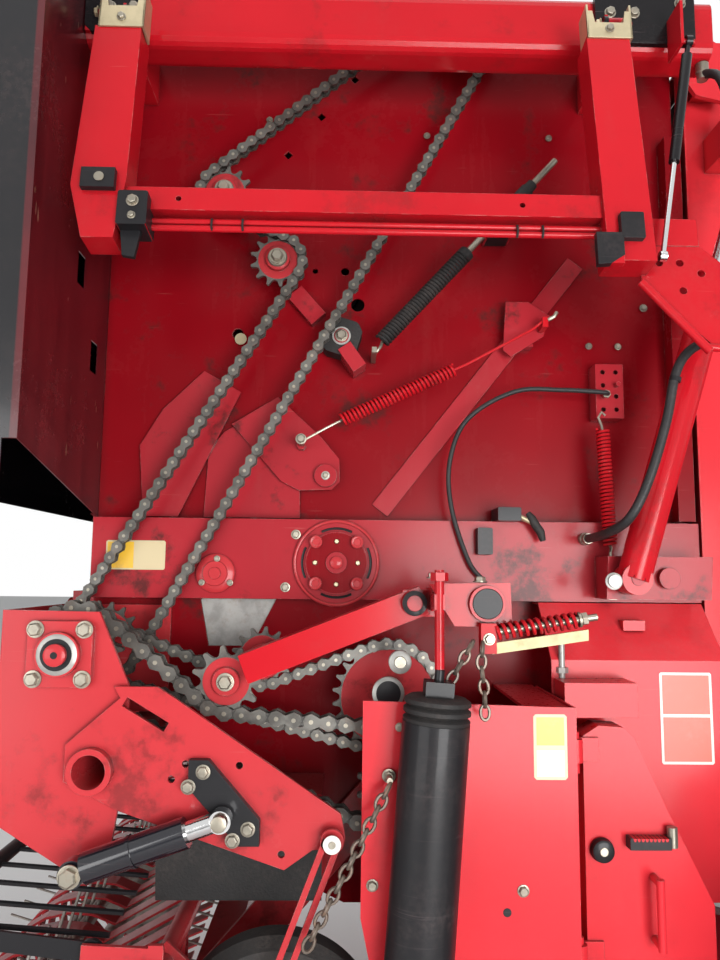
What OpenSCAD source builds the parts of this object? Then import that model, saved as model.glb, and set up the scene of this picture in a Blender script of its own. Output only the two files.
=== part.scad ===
// Towed round baler with belts, its drive side open to view.
// +X points to the rear, +Z up, and the drive side faces -Y.

/* [Chamber] */
// Half width over the chamber's side walls
wall_y = 610; // [580:5:640]
// Thickness of a side wall
wall_t = 6; // [4:1:10]
// Front edge of the side walls
wall_front = -285; // [-300:5:-280]
// Top edge of the side walls
wall_top = 2620; // [2600:5:2660]
// Bottom edge of the side walls
wall_low = 640; // [620:5:655]
// Where the tailgate starts
split_x = 1000; // [990:2:1010]
// Open seam between walls and tailgate
split_gap = 12; // [10:1:16]
// Radius of a chamber roller
roller_r = 60; // [45:1:70]
// Thickness of a belt
belt_t = 7; // [5:1:10]
// Width of a belt
belt_w = 170; // [140:5:185]
// Belts side by side
belt_count = 6; // [5:1:6]

/* [Running gear] */
// Axle behind the frame's origin
axle_x = 1400; // [1380:5:1420]
// Outer radius of a tyre
tyre_r = 475; // [460:5:485]
// Width of a tyre
tyre_w = 450; // [400:5:460]
// Middle of a wheel from the machine's middle
wheel_y = 1025; // [1015:1:1040]
// Radius of the rim's bead seat
rim_r = 205; // [195:1:225]
// Side of the square axle beam
axle_w = 110; // [90:2:120]
// Radius of a gauge wheel
gauge_r = 180; // [170:2:184]
// Width of a gauge wheel
gauge_w = 90; // [70:2:95]

/* [Drawbar] */
// Middle of the hitch eye
hitch_x = -1960; // [-1980:5:-1940]
// Middle height of the drawbar
drawbar_z = 960; // [950:1:965]
// Height of a drawbar beam
drawbar_h = 110; // [90:2:115]
// Radius of the hitch eye's hole
hitch_r = 25.5; // [20:0.5:30]
// Thickness of the hitch eye
hitch_t = 40; // [30:1:50]
// Outer side of the square jack tube
jack_w = 80; // [74:1:90]
// Outer side of the square jack leg
jack_leg_w = 66; // [56:1:68]
// Radius of the drive stub
stub_r = 17.5; // [15:0.5:20]

/* [Drives] */
// Main shaft, along X
main_x = -245; // [-248:1:-242]
// Main shaft, height
main_z = 1160; // [1156:1:1164]
// Radius of the main shaft
shaft_r = 22; // [18:1:25]
// Pitch of the heavy chain
heavy_pitch = 31.75; // [25.4:0.05:34]
// Pitch of the light chains
light_pitch = 25.4; // [19.05:0.05:26]
// Middle of the heavy chain from the machine's middle
heavy_y = 815; // [812:1:818]
// Middle of the main light chain from the machine's middle
light_y = 680; // [677:1:683]
// Middle of the net drive's chain from the machine's middle
net_y = 740; // [737:1:743]

/* [Tailgate] */
// Tailgate hinge, along X
gate_x = 950; // [945:1:952]
// Tailgate hinge below the walls' top edge
gate_drop = 70; // [65:1:74]
// Radius of a tailgate cylinder
ram_r = 32; // [28:1:36]
// Radius of a tailgate cylinder's rod
ram_rod_r = 17; // [14:1:20]
// Middle of a tailgate cylinder from the machine's middle
ram_y = 780; // [775:1:790]

/* [Guards] */
// Height of the top beams
beam_h = 122; // [110:2:130]
// Underside of the top beams below the walls' top edge
beam_drop = 270; // [264:2:280]
// Middle of a top beam from the machine's middle
beam_y = 800; // [795:1:805]
// Depth of a top beam
beam_d = 92; // [80:2:100]
// Lean of the hanging guard frame
guard_lean = 6.5; // [4:0.5:8]
// Width of a guard leg
leg_w = 86; // [80:2:90]
// Height of the guard's crossbar
crossbar_h = 45; // [35:1:55]

/* [Pickup] */
// Half width between the pickup's side plates
pickup_y = 985; // [960:5:990]
// Reel shaft, along X
reel_x = -300; // [-310:1:-290]
// Reel shaft, height
reel_z = 440; // [430:1:450]
// Radius to the tips of the tines
tine_r = 250; // [235:1:255]
// Tines along one bar
tine_count = 24; // [12:1:26]
// Bars round the reel
tine_bars = 4; // [3:1:5]

/* [Hidden] */

RED = [0.72, 0.05, 0.08];
DARK = [0.10, 0.10, 0.11];
STEEL = [0.62, 0.62, 0.60];
ZINC = [0.78, 0.72, 0.52];

// Clearance of a piece laid in its seat, and of a pin in its bore
seat = 0.3;
run = 0.05;
sheet = 4;
// Rise of a belt's flat facets over the rollers they run on
band_seat = 2;
gate_z = wall_top - gate_drop;
beam_z = wall_top - beam_drop;
front_top = wall_top - 80;
drawbar_top = drawbar_z + drawbar_h / 2;
axle_top = tyre_r + axle_w / 2;
channel_low = 1250;
channel_top = 1415;
channel_d = 50;
rotor = [375, 922];
lift_tube = [-179, 969];
main_shaft_at = [main_x, main_z];
heavy_idler = [30, 1105];
upper_shaft = [505, wall_top - 90];
idler_one = [-25, 2120];
idler_two = [93, 1969];
net_idler = [86, 1140];
net_shaft = [331, 1067];
arm_pivot = [488, 1254];
plate_y = 890;
ram_base = [802, 1298];
ram_tip = [1100, 2265];
strut_base = [895, -908, 2330];
strut_tip = [806, -962, 1872];
hub_at = [227, 1325];
guard_hinge = [-(beam_y + beam_d / 2 + 28), beam_z + 38];

module xz_plate(y, t, points) translate([0, y + t, 0]) rotate([90, 0, 0]) linear_extrude(t) polygon(points);
module box(low, high) translate(low) cube(high - low);
module rod_y(at, y0, y1, r, faces = 32)
    translate([at[0], y1, at[1]]) rotate([90, 0, 0]) cylinder(h = y1 - y0, r = r, $fn = faces);
module ring_y(at, y0, y1, r, hole) difference() {
    rod_y(at, y0, y1, r);
    rod_y(at, y0 - 1, y1 + 1, hole);
}
module strut(a, b, r, faces = 24) {
    d = b - a;
    translate(a) rotate([0, acos(d[2] / norm(d)), atan2(d[1], d[0])]) cylinder(h = norm(d), r = r, $fn = faces);
}
// Flat bar in the XZ plane from a to b, with square ends past both points by over
module flat_bar(a, b, w, y, t, over = 0) {
    d = b - a;
    translate([a[0], y, a[1]]) rotate([0, -atan2(d[1], d[0]), 0])
        translate([-over, 0, -w / 2]) cube([norm(d) + 2 * over, t, w]);
}
module both_sides() {
    children();
    mirror([0, 1, 0]) children();
}
function wrap(a) = a - 360 * floor(a / 360);
function arc(c, r, from, to, steps) =
    [for (i = [0:steps]) let (a = from + (to - from) * i / steps) c + r * [cos(a), sin(a)]];
function round_box(w, h, r) = concat(
    arc([w / 2 - r, h / 2 - r], r, 0, 90, 4), arc([r - w / 2, h / 2 - r], r, 90, 180, 4),
    arc([r - w / 2, r - h / 2], r, 180, 270, 4), arc([w / 2 - r, r - h / 2], r, 270, 360, 4));

// A chain or belt runs round wheels of [x, z, radius], the radius negative where the wheel lies outside
function heading(a, b) = let (d = [b[0] - a[0], b[1] - a[1]])
    atan2(d[1], d[0]) - asin((b[2] - a[2]) / norm(d));
function headings(w) = [for (i = [0:len(w) - 1]) heading(w[i], w[(i + 1) % len(w)])];
function on_wheel(w, a, off) = [w[0], w[1]] + (w[2] + off) * [sin(a), -cos(a)];
// Samples along the loop as [wheel on, heading, share of the way to the next wheel]
function loop_stops(w, step, straight) = let (h = headings(w), n = len(w)) [for (i = [0:n - 1])
    let (before = h[(i + n - 1) % n],
         sweep = w[i][2] > 0 ? wrap(h[i] - before) : -wrap(before - h[i]),
         turns = max(2, round(abs(sweep * w[i][2]) * PI / 180 / step)),
         far = norm([w[(i + 1) % n][0] - w[i][0], w[(i + 1) % n][1] - w[i][1]]),
         runs = max(1, round(sqrt(pow(far, 2) - pow(w[(i + 1) % n][2] - w[i][2], 2)) / straight)))
    each concat([for (k = [0:turns - 1]) [i, before + sweep * k / turns, 0]],
                [for (k = [0:runs - 1]) [i, h[i], k / runs]])];
function loop_point(w, s, off) =
    let (a = on_wheel(w[s[0]], s[1], off), b = on_wheel(w[(s[0] + 1) % len(w)], s[1], off))
    s[2] == 0 ? a : a + s[2] * (b - a);
function chain_outline(w, pitch, side) =
    let (stops = loop_stops(w, pitch / 2, pitch / 2)) [for (i = [0:len(stops) - 1])
    loop_point(w, stops[i], side * pitch * (i % 2 == 0 ? 0.38 : 0.27))];
function band_outline(w, off) = [for (s = loop_stops(w, 24, 9999)) loop_point(w, s, off)];
function run_of(first, count) = [for (i = [0:count - 1]) first + i];
module loop_band(outer, inner) polygon(concat(outer, inner), [run_of(0, len(outer)), run_of(len(outer), len(inner))]);
module chain(w, pitch, y, width) translate([0, y + width / 2, 0]) rotate([90, 0, 0]) linear_extrude(width)
    loop_band(chain_outline(w, pitch, 1), chain_outline(w, pitch, -1));
module belt(w, y, width) translate([0, y + width / 2, 0]) rotate([90, 0, 0]) linear_extrude(width)
    loop_band(band_outline(w, belt_t + band_seat), band_outline(w, band_seat));

function pitch_r(teeth, pitch) = pitch / 2 / sin(180 / teeth);
function tooth_outline(teeth, pitch) = [for (i = [0:teeth - 1]) each
    let (r = pitch_r(teeth, pitch), a = 360 * i / teeth, s = 360 / teeth)
    [for (p = [[-0.28, -0.24], [-0.10, 0.26], [0.10, 0.26], [0.28, -0.24], [0.5, -0.34]])
        (r + p[1] * pitch) * [cos(a + p[0] * s), sin(a + p[0] * s)]]];
module sprocket(at, teeth, pitch, y, t, bore) translate([at[0], y + t / 2, at[1]]) rotate([90, 0, 0])
    linear_extrude(t) difference() {
        polygon(tooth_outline(teeth, pitch));
        if (bore > 0) circle(r = bore, $fn = 32);
    }

wall_points = [
    [wall_front, drawbar_top], [wall_front, front_top], [-190, wall_top], [split_x - split_gap, wall_top],
    [split_x - split_gap, wall_low], [250, wall_low], [120, 700], [-60, 900], [-120, drawbar_top]];
roller_window = [[-60, channel_low - 2], [100, channel_low - 2], [50, 1150], [-40, 1150]];

module side_wall(y) xz_plate(y, wall_t, wall_points);
// Folded post along a wall's rear edge, outwards from the sheet
module rear_post() for (f = [[952, 958], [split_x - split_gap - 6, split_x - split_gap]])
    box([f[0], -wall_y - 40, channel_top + 5], [f[1], -wall_y, beam_z - 60]);
module shaft_holes(y) for (at = [main_shaft_at, upper_shaft, rotor])
    rod_y(at, y - 1, y + wall_t + 1, shaft_r + seat);

module gate_pin(y) rod_y([gate_x, gate_z], y, y + 62, 15);
module left_wall() color(RED) {
    gate_pin(-wall_y - 62);
    rear_post();
    box([952, -wall_y - 40, channel_top + 5], [split_x - split_gap, -wall_y - 36, beam_z - 60]);
    left_wall_sheet();
}
module left_wall_sheet() difference() {
    side_wall(-wall_y);
    xz_plate(-wall_y - 1, wall_t + 2, roller_window);
    // light holes cut square on their corner: middle X, middle Z
    for (p = [[254, 2438], [178, 2344], [104, 2249]])
        translate([p[0], -wall_y - 1, p[1]]) rotate([0, 45, 0]) translate([-7, 0, -7]) cube([14, wall_t + 2, 14]);
    // round light holes: middle X, middle Z, radius
    for (p = [[170, 1975, 6], [237, 1975, 9], [266, 1898, 15], [2, 1827, 12]])
        rod_y([p[0], p[1]], -wall_y - 1, -wall_y + wall_t + 1, p[2]);
    shaft_holes(-wall_y);
}

module right_wall() color(RED) {
    gate_pin(wall_y);
    mirror([0, 1, 0]) {
        rear_post();
        box([952, -wall_y - 40, channel_top + 5], [split_x - split_gap, -wall_y - 36, beam_z - 60]);
    }
    difference() {
        side_wall(wall_y - wall_t);
        shaft_holes(wall_y - wall_t);
    }
}

module channel(y) for (z = [channel_low, channel_top - sheet])
    box([wall_front + 6, y - channel_d, z], [split_x - split_gap, y, z + sheet]);

module main_frame() color(RED) {
    both_sides() difference() {
        union() {
            channel(-wall_y);
            box([wall_front + 6, -wall_y - channel_d, channel_low],
                [split_x - split_gap, -wall_y - channel_d + sheet, channel_top]);
        }
        rod_y(hub_at, -wall_y - channel_d - 1, -wall_y - channel_d + sheet + 1, 64 + seat);
    }
    // ram brackets: outer plate, two ribs, the ram's pin and a second boss
    both_sides() {
        xz_plate(-ram_y + 38, 8, [[767, 1343], [977, 1343], [971, 1258], [762, 1258]]);
        for (x = [767, 960]) box([x, -ram_y + 46, 1258], [x + 8, -wall_y - channel_d, 1343]);
        rod_y(ram_base, -ram_y - 26, -ram_y + 38, 12);
        rod_y([884, 1300], -ram_y + 24, -ram_y + 38, 21);
    }
    // sill under each wall and the beam that reaches back over the axle
    both_sides() xz_plate(-wall_y - channel_d, channel_d, [
        [290, wall_low], [300, wall_low - 60], [600, wall_low - 60], [axle_x - 130, axle_top],
        [axle_x + 90, axle_top], [axle_x + 90, axle_top + 80], [1120, 610], [split_x - split_gap, wall_low]]);
    // cross members: low corner X Z, high corner X Z, half length
    for (m = [[700, wall_low - 80, 790, wall_low - 20, wall_y], [310, wall_low - 55, 370, wall_low, wall_y],
              [wall_front, drawbar_top, wall_front + 70, drawbar_top + 100, wall_y - wall_t]])
        box([m[0], -m[4], m[1]], [m[2], m[4], m[3]]);
}

module axle() color(RED) {
    box([axle_x - axle_w / 2, -wall_y - channel_d - 100, tyre_r - axle_w / 2],
        [axle_x + axle_w / 2, wall_y + channel_d + 100, tyre_r + axle_w / 2]);
    both_sides() rod_y([axle_x, tyre_r], -wheel_y - 40, -wall_y - channel_d - 100, 38);
}

module drawbar() color(RED) translate([0, 0, drawbar_z - drawbar_h / 2]) difference() {
    linear_extrude(drawbar_h) polygon([
        [-225, 360], [-420, 360], [-1450, 70], [-1890, 60], [-1890, -60], [-1450, -70], [-420, -360], [-225, -360]]);
    translate([0, 0, -1]) linear_extrude(drawbar_h + 2)
        polygon([[-330, 265], [-440, 265], [-1300, 20], [-1300, -20], [-440, -265], [-330, -265]]);
}

module hitch_eye() color(DARK) difference() {
    union() {
        translate([hitch_x, 0, drawbar_z - hitch_t / 2]) cylinder(h = hitch_t, r = 65, $fn = 48);
        box([hitch_x + 30, -45, drawbar_z - hitch_t / 2], [-1890, 45, drawbar_z + hitch_t / 2]);
    }
    translate([hitch_x, 0, drawbar_z - hitch_t]) cylinder(h = 2 * hitch_t, r = hitch_r, $fn = 48);
}

jack_at = [-1250, -150 - jack_w / 2];
// Outer face of the drawbar's left beam at x, less the seat
function drawbar_side(x) = -70 - (x + 1450) * (360 - 70) / (1450 - 420) - seat;
module square_tube(w, hole, z0, z1) translate([jack_at[0], jack_at[1], z0]) difference() {
    translate([-w / 2, -w / 2, 0]) cube([w, w, z1 - z0]);
    if (hole > 0) translate([-hole / 2, -hole / 2, -1]) cube([hole, hole, z1 - z0 + 2]);
}
module jack_tube() color(RED) {
    square_tube(jack_w, jack_leg_w + 2 * seat, 420, 1180);
    translate([0, 0, drawbar_z - 45]) linear_extrude(90) polygon([
        [jack_at[0] - 40, jack_at[1] + jack_w / 2], [jack_at[0] + 40, jack_at[1] + jack_w / 2],
        [jack_at[0] + 40, drawbar_side(jack_at[0] + 40)], [jack_at[0] - 40, drawbar_side(jack_at[0] - 40)]]);
    translate([jack_at[0], jack_at[1], 1180]) {
        translate([-jack_w / 2, -jack_w / 2, 0]) cube([jack_w, jack_w, 6]);
        translate([0, 0, 6]) cylinder(h = 30, r = 12, $fn = 24);
        translate([-8, -110, 36]) cube([16, 122, 8]);
        translate([0, -100, 44]) cylinder(h = 70, r = 11, $fn = 24);
    }
}
module jack_leg() color(STEEL) {
    square_tube(jack_leg_w, 0, 12, 820);
    box([jack_at[0] - 110, jack_at[1] - 90, 0], [jack_at[0] + 110, jack_at[1] + 90, 12]);
}

gearbox_front = -500;
module gearbox() color(RED) {
    box([gearbox_front, -110, drawbar_top + seat], [wall_front, 110, 1250]);
    ring_y(main_shaft_at, -60, 60, 43, shaft_r + seat);
    translate([gearbox_front, 0, main_z]) rotate([0, -90, 0]) {
        cylinder(h = 40, r = 70, $fn = 40);
        cylinder(h = 60, r = 32, $fn = 40);
        cylinder(h = 150, r = stub_r, $fn = 40);
    }
}

module main_shaft() color(STEEL) rod_y(main_shaft_at, -plate_y - 30, plate_y + 30, shaft_r);

heavy_r = pitch_r(15, heavy_pitch);
heavy_far_r = pitch_r(19, heavy_pitch);
heavy_idler_r = pitch_r(11, heavy_pitch);
heavy_loop = [
    [main_x, main_z, heavy_r], [rotor[0], rotor[1], heavy_far_r], [heavy_idler[0], heavy_idler[1], -heavy_idler_r]];
light_r = pitch_r(19, light_pitch);
light_idler_r = pitch_r(13, light_pitch);
light_loop = [
    [main_x, main_z, light_r], [upper_shaft[0], upper_shaft[1], light_r],
    [idler_one[0], idler_one[1], light_idler_r], [idler_two[0], idler_two[1], -light_idler_r]];
net_far_r = pitch_r(25, light_pitch);
net_loop = [
    [main_x, main_z, light_idler_r], [net_shaft[0], net_shaft[1], net_far_r],
    [net_idler[0], net_idler[1], -light_idler_r]];

// Hub, spindle and bolt head of an idler that runs on the wall or on an arm behind it
module idler(at, y, teeth, pitch, back) {
    sprocket(at, teeth, pitch, -y, 8, 0);
    rod_y(at, -y - 16, -y + 16, 26);
    rod_y(at, -y - 24, -y - 16, 15, 6);
    rod_y(at, -y + 16, back, 14);
}
module heavy_drive() color(STEEL) {
    chain(heavy_loop, heavy_pitch, -heavy_y, 30);
    sprocket(main_shaft_at, 15, heavy_pitch, -heavy_y, 16, shaft_r + seat);
    ring_y(main_shaft_at, -heavy_y - 20, -heavy_y + 20, 40, shaft_r + seat);
    sprocket(rotor, 19, heavy_pitch, -heavy_y, 16, shaft_r + seat);
    idler(heavy_idler, heavy_y, 11, heavy_pitch, -heavy_y + 18);
}
module light_drive() color(STEEL) {
    chain(light_loop, light_pitch, -light_y, 22);
    sprocket(main_shaft_at, 19, light_pitch, -light_y, 8, shaft_r + seat);
    sprocket(upper_shaft, 19, light_pitch, -light_y, 8, shaft_r + seat);
    idler(idler_one, light_y, 13, light_pitch, -wall_y - seat);
    idler(idler_two, light_y, 13, light_pitch, -wall_y - seat);
}
module net_drive() color(STEEL) {
    chain(net_loop, light_pitch, -net_y, 22);
    sprocket(main_shaft_at, 13, light_pitch, -net_y, 8, shaft_r + seat);
    sprocket(net_shaft, 25, light_pitch, -net_y, 8, 0);
    rod_y(net_shaft, -net_y - 20, -wall_y - seat, 20);
    idler(net_idler, net_y, 13, light_pitch, -wall_y - seat);
}

hood_y = 1040;
hood_sheet = 3;
hood_profile = [
    [wall_front - seat, 1418], [wall_front - seat, wall_top - 20], [-420, wall_top + 20], [-620, 2560],
    [-745, 2300], [-790, 1900],
    [-780, 1560], [-760, 1500], [-600, 1440]];
function inset(points, c, by) = [for (p = points) p + by * (c - p) / norm(c - p)];
module front_hood() color(DARK) difference() {
    translate([0, hood_y, 0]) rotate([90, 0, 0]) linear_extrude(2 * hood_y) polygon(hood_profile);
    translate([0, hood_y - hood_sheet, 0]) rotate([90, 0, 0]) linear_extrude(2 * (hood_y - hood_sheet))
        polygon(inset(hood_profile, [-520, 2000], 6));
    // open below and towards the chamber
    box([-755, -hood_y + hood_sheet, 1400], [wall_front - 9, hood_y - hood_sheet, 1560]);
    box([wall_front - 20, -wall_y + 12, 1400], [wall_front + 5, wall_y - 12, 2560]);
    // slots with a tongue in the face behind the guard: middle Y, middle Z
    both_sides() for (p = [[-790, 1895], [-690, 1745]])
        box([wall_front - 20, p[0] - 22, p[1] - 32], [wall_front + 5, p[0] + 22, p[1] + 32]);
    both_sides() translate([wall_front - 25, -hood_y - 1, 1400]) rotate([90, 0, 90]) linear_extrude(30)
        polygon([[0, 0], [hood_y - wall_y + 1, 0], [hood_y - wall_y + 1, 18], [0, 114]]);
}

plate_points = [
    [-350, 1234], [-183, 1232], [-125, 1104], [-128, 960], [-150, 800], [-205, 795], [-350, 882]];
lift_base = [-187, 820];
module bearing_plates() both_sides() {
    color(RED) difference() {
        union() {
            xz_plate(-plate_y - 8, 8, plate_points);
            box([-350, -plate_y, 884], [-344, -wall_y - 6, 1234]);
            box([-350, -wall_y - 6, drawbar_top], [-120, -wall_y, 1234]);
            xz_plate(-plate_y - 20, 12, [for (p = round_box(112, 112, 16)) p + main_shaft_at]);
            ring_y(main_shaft_at, -plate_y - 32, -plate_y - 20, 38, shaft_r + seat);
        }
        rod_y(main_shaft_at, -plate_y - 40, -wall_y + 1, shaft_r + seat);
        rod_y(lift_tube, -plate_y - 10, -plate_y + 1, 38 + run);
    }
    color(STEEL) {
        for (dx = [-42, 42], dz = [-42, 42])
            rod_y(main_shaft_at + [dx, dz], -plate_y - 28, -plate_y - 20, 10, 6);
        rod_y(lift_base, -plate_y - 84, -plate_y - 8, 9);
    }
}

beam_front = wall_front;
beam_rear = 975;
module top_beams() {
    color(RED) both_sides() {
        translate([beam_front, -beam_y, beam_z + beam_h / 2]) rotate([90, 0, 90])
            linear_extrude(beam_rear - beam_front) difference() {
                polygon(round_box(beam_d, beam_h, 24));
                polygon(round_box(beam_d - 8, beam_h - 8, 20));
            }
        for (x = [-280, 770])
            box([x, -beam_y + beam_d / 2, beam_z + 14], [x + 85, -wall_y, beam_z + beam_h - 14]);
    }
    // lug that holds the gas strut's upper eye
    color(DARK) {
        box([strut_base[0] - 18, strut_base[1] - 9, strut_base[2] - 9],
            [strut_base[0] - 12, -beam_y - beam_d / 2 - 10, beam_z + 60]);
        translate([strut_base[0] - 12, strut_base[1], strut_base[2]]) rotate([0, 90, 0])
            cylinder(h = 22, r = 5, $fn = 24);
    }
    // black plates that carry the guard's hinges: low X, high X
    color(DARK) both_sides() for (x = [[-283, -168], [734, 934]])
        box([x[0], -beam_y - beam_d / 2 - 10, beam_z + 14], [x[1], -beam_y - beam_d / 2, beam_z + beam_h + 6]);
    // hinge ears with their pin
    color(ZINC) both_sides() for (x = [-244, 742]) {
        for (e = [0, 44]) box([x + e, guard_hinge[0] - 12, guard_hinge[1] - 12],
                              [x + e + 6, -beam_y - beam_d / 2 - 10, guard_hinge[1] + 12]);
        translate([x - 6, guard_hinge[0], guard_hinge[1]]) rotate([0, 90, 0]) cylinder(h = 62, r = 6, $fn = 24);
    }
}

module wall_fittings() {
    // layered plates, each as low Y, thickness, outline
    color(RED) {
        xz_plate(-wall_y - 6, 6, concat([[-59, 1420], [147, 1420]], arc([45, 1530], 100, 10, 170, 8)));
        xz_plate(-wall_y - 12, 6, [[-200, 1573], [-153, 1653], [-67, 1739], [14, 1693], [-113, 1420], [-187, 1420]]);
        xz_plate(-wall_y - 18, 6, [
            [-3, 1621], [106, 1498], [144, 1479], [214, 1481], [231, 1498], [230, 1547], [188, 1597], [95, 1682]]);
        box([100, -wall_y - 12, 1500], [180, -wall_y, 1580]);
        ring_y([201, 1510], -wall_y - 32, -wall_y - 18, 24, 9);
        flat_bar([318, 1439], [754, 2001], 42, -wall_y - 6, 6);
        xz_plate(-wall_y - 34, 6, [[590, 1899], [640, 1899], [687, 1868], [672, 1822], [600, 1775], [583, 1790]]);
        box([610, -wall_y - 30, 1800], [650, -wall_y, 1806]);
        flat_bar([126, 1920], [180, 1859], 40, -wall_y - 20, 20);
        flat_bar([237, 1787], [271, 1739], 32, -wall_y - 60, 60);
        box([-40, -wall_y - 156, 885], [207, -wall_y, 893]);
    }
    color(DARK) {
        rod_y([231, 1810], -wall_y - 50, -wall_y, 38, 6);
        box([545, -wall_y - 70, 2040], [600, -wall_y, 2100]);
        box([560, -wall_y - 80, 1400 + 16], [606, -wall_y, 1442]);
    }
    color(STEEL) {
        rod_y([231, 1810], -wall_y - 56, -wall_y - 50, 16);
        rod_y([148, 1574], -wall_y - 34, -wall_y - 18, 10, 6);
    }
    // round cover of the roller's bearing with bosses and bolts
    color(RED) {
        ring_y(hub_at, -wall_y - channel_d - 12, -wall_y, 64, 20);
        ring_y(hub_at, -wall_y - channel_d - 6, -wall_y - channel_d - seat, 90, 64 - 1);
        for (a = [0:3]) rod_y(hub_at + 60 * [cos(45 + 90 * a), sin(45 + 90 * a)],
            -wall_y - channel_d - 22, -wall_y - channel_d - 6, 13);
        rod_y(hub_at, -wall_y - channel_d - 18, -wall_y - 20, 22);
    }
}

module tension_arm() {
    color(RED) {
        flat_bar(net_idler, [368, 1250], 52, -885, 60, 20);
        box([395, -930, 1240], [460, -840, 1280]);
        box([348, -884, 1228], [420, -826, 1275]);
        difference() {
            union() {
                rod_y(arm_pivot, -950, -wall_y - channel_d - seat, 31);
                xz_plate(-938, 8, [[389, 1287], [530, 1290], [532, 1215], [433, 1215]]);
            }
            rod_y(arm_pivot, -951, -780, 26);
        }
        // plate behind the heavy idler and the block that joins it to the arm
        flat_bar(heavy_idler, [115, 1145], 34, -heavy_y + 18 + seat, 8, 17);
        box([100, -830, 1128], [130, -heavy_y + 20, 1164]);
    }
    color(STEEL) {
        rod_y([368, 1252], -900, -885, 20);
        translate([401, -sleeve_y, 1149]) cylinder(h = 161, r = 8, $fn = 24);
        translate([401, -sleeve_y, 1292]) cylinder(h = 14, r = 15, $fn = 6);
        box([392, -sleeve_y - 6, 1245], [410, -938, 1270]);
    }
}

// Ribbed solid that stands for a coil spring from a to b in the plane y
module spring(a, b, y, r, coils) {
    d = b - a;
    p = norm(d) / coils;
    translate([a[0], y, a[1]]) rotate([0, 90 - atan2(d[1], d[0]), 0]) rotate_extrude($fn = 24)
        polygon(concat([[0, 0]], [for (k = [0:coils - 1]) each [[r * 0.75, k * p], [r, (k + 0.5) * p]]],
            [[r * 0.75, norm(d)], [0, norm(d)]]));
}
sleeve_y = 988;
module relief_spring() color(DARK) {
    translate([352, -sleeve_y, 490]) rotate([0, 4.3, 0]) {
        difference() {
            cylinder(h = 577, r = 55, $fn = 40);
            translate([0, 0, 537]) cylinder(h = 50, r = 47, $fn = 40);
        }
        translate([0, 0, 530]) rotate_extrude($fn = 40)
            polygon([[0, 0], [40, 0], [46, 12], [40, 24], [46, 36], [40, 48], [46, 60], [40, 72], [46, 84], [0, 90]]);
        translate([-23, -23, 618]) cube([46, 46, 24]);
        translate([0, 0, 640]) cylinder(h = 20, r = 8, $fn = 24);
    }
}

module wall_springs() {
    color(DARK) spring([317, 1792], [493, 1985], -690, 18, 14);
    color(STEEL) {
        strut([300, -690, 1773], [322, -690, 1798], 5);
        strut([488, -690, 1979], [693, -690, 2204], 7);
        box([575, -700, 2060], [588, -wall_y - 70 - seat, 2090]);
        box([296, -696, 1765], [306, -wall_y, 1777]);
    }
    color(RED) spring([235, 1623], [472, 1735], -680, 15, 16);
    color(STEEL) {
        strut([150, -680, 1580], [240, -680, 1625], 4);
        strut([468, -680, 1733], [676, -680, 1846], 5);
        box([145, -686, 1572], [155, -wall_y - 34 - seat, 1588]);
        box([660, -686, 1830], [672, -wall_y - 34, 1852]);
    }
    color(RED) spring([791, 1368], [782, 1610], -686, 15, 14);
    color(STEEL) {
        strut([782, -686, 1606], [781, -686, 1650], 4);
        strut([791, -686, 1330], [791, -686, 1372], 4);
        box([783, -694, 1256], [799, -wall_y - channel_d, 1336]);
    }
    color(RED) spring([500, 1207], [640, 1229], -956, 15, 9);
    color(STEEL) strut([478, -956, 1204], [672, -956, 1234], 6);
    color(ZINC) flat_bar([494, 1180], [655, 1204], 18, -960, 8);
    color(RED) box([474, -964, 1172], [500, -938, 1222]);
}

module valve_block() color(RED) {
    difference() {
        box([780, -wall_y - 45, 1640], [840, -wall_y, 1759]);
        for (x = [796, 824], z = [1659, 1688, 1712, 1741]) rod_y([x, z], -wall_y - 46, -wall_y - 30, 5);
    }
    color(STEEL) for (p = [[824, 1712], [796, 1688]]) rod_y(p, -wall_y - 62, -wall_y - 30.5, 4.9);
}

// Tube swept along a route by rings of sides corners
function unit(v) = v / norm(v);
function tangents(p) = [for (i = [0:len(p) - 1]) unit(p[min(i + 1, len(p) - 1)] - p[max(i - 1, 0)])];
function ring_at(c, t, r, sides) = let (u = unit(cross(t, abs(t[1]) < 0.8 ? [0, 1, 0] : [1, 0, 0])), v = cross(t, u))
    [for (k = [0:sides - 1]) c + r * (cos(360 * k / sides) * u + sin(360 * k / sides) * v)];
module tube(route, r, sides = 8) {
    n = len(route);
    t = tangents(route);
    polyhedron(
        [for (i = [0:n - 1]) each ring_at(route[i], t[i], r, sides)],
        concat([[for (k = [0:sides - 1]) k]], [[for (k = [sides - 1:-1:0]) (n - 1) * sides + k]],
            [for (i = [0:n - 2], k = [0:sides - 1]) let (a = i * sides + k, b = i * sides + (k + 1) % sides)
                [a, a + sides, b + sides, b]]));
}
// Routes as X, Y, Z: from the top beam to the channel, and from the valve block to the channel
ram_hose = [
    [965, -beam_y - 15, beam_z - seat], [965, -815, 2330], [985, -852, 2290], [1000, -862, 2150], [1000, -862, 1850],
    [980, -862, 1768], [905, -862, 1738], [866, -864, 1690], [842, -864, 1590], [806, -862, 1480],
    [772, -850, 1410], [748, -790, 1385], [745, -700, 1380], [745, -wall_y - channel_d - seat, 1380]];
block_hose = [
    [796, -wall_y - 62 - seat, 1688], [796, -682, 1688], [780, -688, 1689], [700, -680, 1694], [600, -676, 1690],
    [500, -674, 1630], [462, -674, 1540], [465, -674, 1440], [500, -676, 1330], [530, -678, 1290],
    [532, -676, 1266], [532, -wall_y - channel_d - seat, 1266]];
module hoses() color(DARK) {
    tube(ram_hose, 9);
    tube(block_hose, 5);
}

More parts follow.
